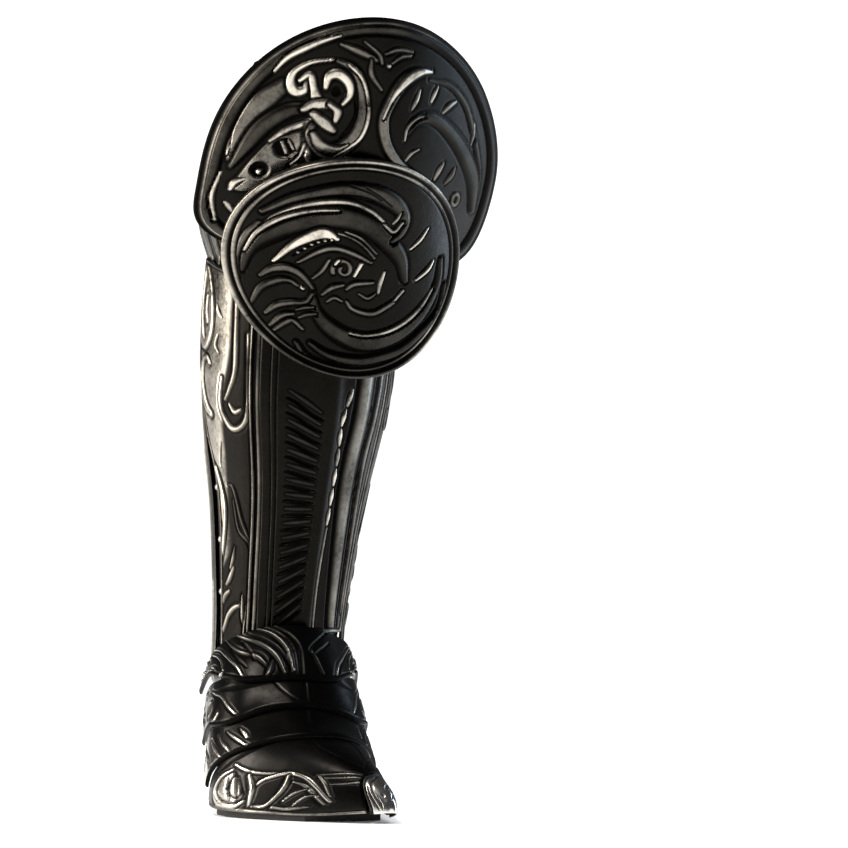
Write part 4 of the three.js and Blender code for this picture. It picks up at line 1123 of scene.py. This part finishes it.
# %% The toe cap
cap_v, cap_u = grid(61, 97)
cap_angle = np.pi / 2 * (2 * cap_u - 1)
cap_place = mix(tip_start(cap_angle), 253.5, cap_v)
cap_face = foot_point(cap_place, cap_angle, -1.5)
drawn_in = 0.96 * (1 - np.sqrt(1 - np.clip((cap_v - 0.86) / 0.14, 0, 1) ** 2))
cap_face = mix(cap_face, cap_face[-1, [0, -1]].mean(0), drawn_in[..., None])
cap = Chasing(np.degrees(cap_angle) / 2, cap_v * 40)
cap.shine = cap.shine + 2
cap.cut(line((-24, -2, 2.4), (-8, 6, 2.8), (10, 14, 2.2), (24, 26, 1)),
        line((-30, 12, 1), (-16, 18, 2.4), (-4, 24, 1)), line((-34, 24, 0.8), (-22, 28, 1.8), (-12, 34, 0.8)),
        line((12, 8, 1), (26, 14, 3.4), (38, 22, 2)), dot(4, 28, 2.6),
        line((16, 24, 1), (26, 28, 2.6), (38, 30, 1)), deep=0.6)
# A painted shadow along the rear edge, where the cap meets the toe plate.
cap.painted_shadow_roll(from_edge(cap_face, "t"), 3.6)
shell("toe_tip_chased", cap_face, cap, 1.6, (25, -225, 12), SILVER, ["toe_tip"], soften=0.6)

# %% [markdown]
# The heel counter is a smooth satin cup behind the heel, with only a bead.

# %% The heel counter
COUNTER_EDGE = [[-62, 91], [-48, 84], [-29, 60], [4, 33], [39, 16], [60, 9]]
heel_v, heel_u = grid(49, 129)
heel_s = (2 * heel_u - 1) * 0.97
heel_run = -heel_point(heel_s, np.full_like(heel_s, 40.0), 0)[..., 1]
heel_height = mix(7.4, along(COUNTER_EDGE, heel_run), heel_v)
heel_face = heel_point(heel_s, heel_height, 1.4)
heel = Chasing(heel_s * 100, heel_height).rim(from_edge(heel_face, "b"), 3.0, high=0.9, bright=0.9)
heel.rim(from_edge(heel_face, "t"), 2.0, high=0.5, bright=0.7)
shell("heel_counter_beaded", heel_face, heel, 2, (-5, -10, 40), DARK, ["heel_counter"])

# %% [markdown]
# ## The boot
# The boot shows as a black strip between the side plates and the calf plate, at
# the ankle and between the lames. Its shaft is a tube, its quarter wraps the
# heel, and its vamp covers the foot. Leather creases where it bends, so shallow
# folds are added at the ankle as waves across the surface.

# %% The boot's leather
HIDE_THICK = 3


def folds(height, around, centre, size, deep):
    """Waves across the leather that fade away from `centre` as a bell curve, bent by
    a slower wave round the leg so that no fold runs level."""
    bend = 5 * np.sin(2.3 * around + 0.6) + 3 * np.sin(5.1 * around)
    return deep * np.exp(-((height - centre) / size) ** 2) * np.sin((height + bend) / 3.4)


def tube(name, face, heart, nodes):
    """A closed ring of leather: the grid's last column meets its first, and the rows
    at both ends are joined to an inner wall."""
    n, turned = normals(face, heart)
    wall = np.concatenate([face, (face - n * HIDE_THICK)[::-1]])[:, :-1]
    if turned:
        wall = wall[:, ::-1]
    rows, columns = wall.shape[:2]
    here = np.arange(rows)[:, None] * columns + np.arange(columns)
    below, beside = np.roll(here, -1, 0), np.roll(here, -1, 1)
    faces = np.stack([here, below, np.roll(below, -1, 1), beside], -1).reshape(-1, 4)
    return mesh_piece(name, wall.reshape(-1, 3), [faces], {}, LEATHER, nodes)


v, u = grid(101, 129)
shaft_turn, shaft_height = 2 * np.pi * u, mix(93, 442, v)
shaft_face = leg_point(shaft_turn, shaft_height, -2 + folds(shaft_height, shaft_turn, 118, 26, 0.5))
tube("boot_shaft_creased", shaft_face, (8, 0, 300), ["boot_shaft"])


def panel(name, face, height, heart, nodes):
    """A leather panel with its own small relief."""
    work = Chasing(face[..., 0], face[..., 2])
    work.high = height
    return shell(name, face, work, HIDE_THICK, heart, LEATHER, nodes)


v, u = grid(41, 129)
quarter_s, quarter_height = 1.16 * (u - 0.5), mix(7.4, 92, v)
panel("boot_quarter_creased", heel_point(quarter_s, quarter_height, -3),
      folds(quarter_height, 3 * quarter_s, 84, 16, 0.4), (-5, -10, 40), ["boot_quarter"])

VAMP_HALF = [[10, 42], [60, 55], [110, 63], [135, 62], [165, 54], [195, 40], [219, 24]]
VAMP_TOP = [[10, 165], [57, 142], [74, 134], [90, 124], [105, 112], [119, 96], [134, 82], [158, 66], [194, 50],
            [219, 35]]
v, u = grid(97, 121)
vamp_angle = np.pi * (u - 0.5)
vamp_rear = mix(66, 10.6, smooth(np.abs(vamp_angle) / 1.35))
vamp_place = mix(vamp_rear, 207, v)
vamp_face = foot_point(vamp_place, vamp_angle, 0, VAMP_HALF, VAMP_TOP, [[0, 7.4], [300, 7.4]])
panel("boot_vamp_creased", vamp_face, folds(vamp_place, 2 * vamp_angle, 95, 30, 0.5), (-10, -110, 10),
      ["boot_vamp"])

# %% [markdown]
# Panels are sewn with waxed thread: two rows along the top of the heel quarter and one
# row down each side of the shaft. One stitch is a short rounded bead with a few dozen
# faces, and the whole row is one mesh.

# %% Stitches


STITCH_PITCH, STITCH_REACH, STITCH_THICK = 3.2, 1.15, 0.45


def stitches(name, path, across):
    """A bead at every pitch of a path: six points round a section and five along
    its length, the section shrinking to each end as a half circle."""
    steps = np.linalg.norm(np.diff(path, axis=0), axis=1)
    run = np.concatenate([[0], np.cumsum(steps)])
    at = np.arange(2, run[-1] - 2, STITCH_PITCH)
    centre = np.stack([np.interp(at, run, path[:, k]) for k in range(3)], 1)
    ahead = np.stack([np.interp(at + 0.5, run, path[:, k]) for k in range(3)], 1) - centre
    ahead /= np.linalg.norm(ahead, axis=1, keepdims=True)
    side = np.stack([np.interp(at, run, across[:, k]) for k in range(3)], 1)
    out_ = side / np.linalg.norm(side, axis=1, keepdims=True)
    flat = np.cross(ahead, out_)
    reach_, turn_ = np.meshgrid(np.linspace(-1, 1, 5) * 0.98, np.arange(6) * np.pi / 3, indexing="ij")
    thick = STITCH_THICK * np.sqrt(1 - reach_ ** 2)
    shape = (centre[:, None, None] + STITCH_REACH * reach_[None, ..., None] * ahead[:, None, None]
             + (thick * np.cos(turn_))[None, ..., None] * flat[:, None, None]
             + (thick * np.sin(turn_))[None, ..., None] * out_[:, None, None])
    here = np.arange(5)[:, None] * 6 + np.arange(6)
    beside = np.roll(here, -1, 1)
    ring_quads = np.stack([here[:-1], beside[:-1], beside[1:], here[1:]], -1).reshape(-1, 4)
    caps = np.array([[5, 4, 3, 2, 1, 0], [24, 25, 26, 27, 28, 29]])
    first = (np.arange(len(at)) * 30)[:, None, None]
    faces = [(ring_quads + first).reshape(-1, 4), (caps + first).reshape(-1, 6)]
    return mesh_piece(name, shape.reshape(-1, 3), faces, {}, THREAD, [])


def surface_row(point, a, b, lift):
    """Points along a surface row, and the direction away from the surface there."""
    base, above = point(a, b, lift), point(a, b, lift + 1)
    return base, above - base


row = np.linspace(-0.56, 0.56, 200)
for number, height in enumerate((88.0, 84.5)):
    path, away = surface_row(heel_point, row, np.full_like(row, height), -2.9)
    stitches(f"quarter_stitches_{number + 1}", path, away)
row = np.linspace(96, 440, 260)
for number, turn in enumerate((np.pi / 2 + 0.27, np.pi * 1.5 - 0.27)):
    path, away = surface_row(leg_point, np.full_like(row, turn), row, -1.9)
    stitches(f"shaft_stitches_{number + 1}", path, away)

# %% [markdown]
# Studs hold the strip of leather beside each calf edge, and rivets hold the
# instep plate. Each is a low dome on a collar, turned from one profile.

# %% Studs and rivets


def dome(radius, foot, tall):
    """The profile of a quarter oval: radius with the cosine, height with the sine."""
    t = np.linspace(0, np.pi / 2, 6)
    return [*zip(radius * np.cos(t)[:-1], foot + tall * np.sin(t)[:-1]), (0.0, foot + tall)]


def turned(name, centres, aways, profile, nodes):
    """One profile of (radius, height) carried round each centre's axis."""
    profile, count = np.array(profile, float), 24
    turn_ = np.arange(count) * 2 * np.pi / count
    points, faces = [], []
    here = np.arange(len(profile) - 1)[:, None] * count + np.arange(count)
    beside = np.roll(here, -1, 1)
    cells = np.stack([here[:-1], here[1:], beside[1:], beside[:-1]], -1).reshape(-1, 4)
    for k, (centre, away) in enumerate(zip(centres, aways)):
        away = away / np.linalg.norm(away)
        side = np.cross(away, [0.3, 0.2, 1.0])
        side /= np.linalg.norm(side)
        other = np.cross(away, side)
        rings = (centre + profile[:-1, 0, None, None] * (np.cos(turn_)[None, :, None] * side
                 + np.sin(turn_)[None, :, None] * other) + profile[:-1, 1, None, None] * away)
        tip = centre + profile[-1, 1] * away
        first = k * (here.size + 2)
        points += [rings.reshape(-1, 3), [centre + profile[0, 1] * away], [tip]]
        last = here[-1]
        faces.append((cells + first, np.stack([last, np.full(count, here.size + 1), np.roll(last, -1)],
                                              1) + first,
                      np.stack([np.roll(here[0], -1), np.full(count, here.size), here[0]], 1) + first))
    return mesh_piece(name, np.concatenate(points),
                      [np.concatenate([f[0] for f in faces]), np.concatenate([f[1] for f in faces]),
                       np.concatenate([f[2] for f in faces])], {}, SILVER, nodes)


STUD = [(4.5, -0.4), (4.5, 0.4), (4.2, 0.7), (3.6, 0.7), *dome(3.2, 0.9, 2.3)]
RIVET = [(3.0, -0.6), (3.0, 0.5), *dome(2.7, 0.6, 1.4)]
stud_height = 185 + 45 * np.arange(5)
rivet_place, rivet_angle = np.array([92.0, 28.0]), np.radians([42, 60.5])
stud_turn = (along(SIDE_REAR, stud_height) + np.pi - along(CALF_SPREAD, stud_height)) / 2
for name, side in (("outer", 1), ("inner", -1)):
    base, away = surface_row(leg_point, side * stud_turn, stud_height, -2)
    turned(f"studs_{name}", base, away, STUD, [f"stud_{name}_{k}" for k in range(1, 6)])
for name, side in (("outer", 1), ("inner", -1)):
    base, away = surface_row(foot_point, rivet_place, side * rivet_angle, 7.5)
    turned(f"rivets_{name}", base, away, RIVET, [f"rivet_front_{name}", f"rivet_rear_{name}"])

# %% [markdown]
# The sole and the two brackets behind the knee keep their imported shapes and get
# a finish.

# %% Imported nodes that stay
for name, material in (("sole", RUBBER), ("fan_bracket", DARK), ("disc_bracket", DARK)):
    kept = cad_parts[name]
    kept.data.materials.clear()
    kept.data.materials.append(material)
    print(name, "stays, finished as", material.name)

# %% [markdown]
# ## The studio
# A pale floor and a pale room. Two tall soft lights stand beside the leg, a warm
# one at its outer side and a cool one at its inner side, so that dark steel is
# drawn by long reflections, and a weak one above the camera fills the front.

# %% Floor, room and lights
ROOM_BRIGHT, ROOM_REFLECTED = 1.35, 0.05
turn = np.linspace(0, 2 * np.pi, 96, endpoint=False)
floor_mesh = bpy.data.meshes.new("floor")
floor_mesh.from_pydata([(90 * np.cos(a), 90 * np.sin(a), -0.0005) for a in turn], [], [list(range(96))])
floor = bpy.data.objects.new("floor", floor_mesh)
bpy.context.scene.collection.objects.link(floor)
pale, tree, shader, place = new_material("pale floor")
seen = blend(tree, noise(tree, place, 900), (0.86, 0.86, 0.86, 1), (0.89, 0.89, 0.89, 1))
glossy = node(tree, "ShaderNodeLightPath").outputs["Is Glossy Ray"]
tree.links.new(blend(tree, glossy, seen, (0.8, 0.8, 0.8, 1)), shader.inputs["Base Color"])
shader.inputs["Roughness"].default_value = 0.9
floor_mesh.materials.append(pale)

world = bpy.data.worlds.new("room")
bpy.context.scene.world = world
world.use_nodes = True
room = world.node_tree
sky = room.nodes["Background"]
sky.inputs["Color"].default_value = (1, 1, 1, 1)
glossy = node(room, "ShaderNodeLightPath").outputs["Is Glossy Ray"]
room.links.new(blend_numbers(room, glossy, ROOM_BRIGHT, ROOM_REFLECTED), sky.inputs["Strength"])


AIM = (0, -0.05, 0.35)


def soft_light(name, place, size, power, colour):
    """A rectangular light at a place, facing the middle of the shin."""
    data = bpy.data.lights.new(name, "AREA")
    data.shape, data.size, data.size_y, data.energy, data.color = "RECTANGLE", *size, power, colour
    lamp = bpy.data.objects.new(name, data)
    bpy.context.scene.collection.objects.link(lamp)
    away = np.array(place) - AIM
    lamp.location = place
    lamp.rotation_euler = (np.arctan2(np.hypot(away[0], away[1]), away[2]), 0, np.arctan2(away[0], -away[1]))


soft_light("outer_light", (-1.9, 0.55, 0.75), (0.4, 1.7), 66, (1.0, 0.94, 0.86))
soft_light("inner_light", (1.7, 0.0, 0.65), (0.22, 1.5), 14, (0.66, 0.83, 1.0))
soft_light("top_light", (-0.9, -0.7, 2.2), (0.5, 0.3), 26, (1.0, 0.96, 0.90))
bpy.context.scene.view_settings.view_transform = "Standard"
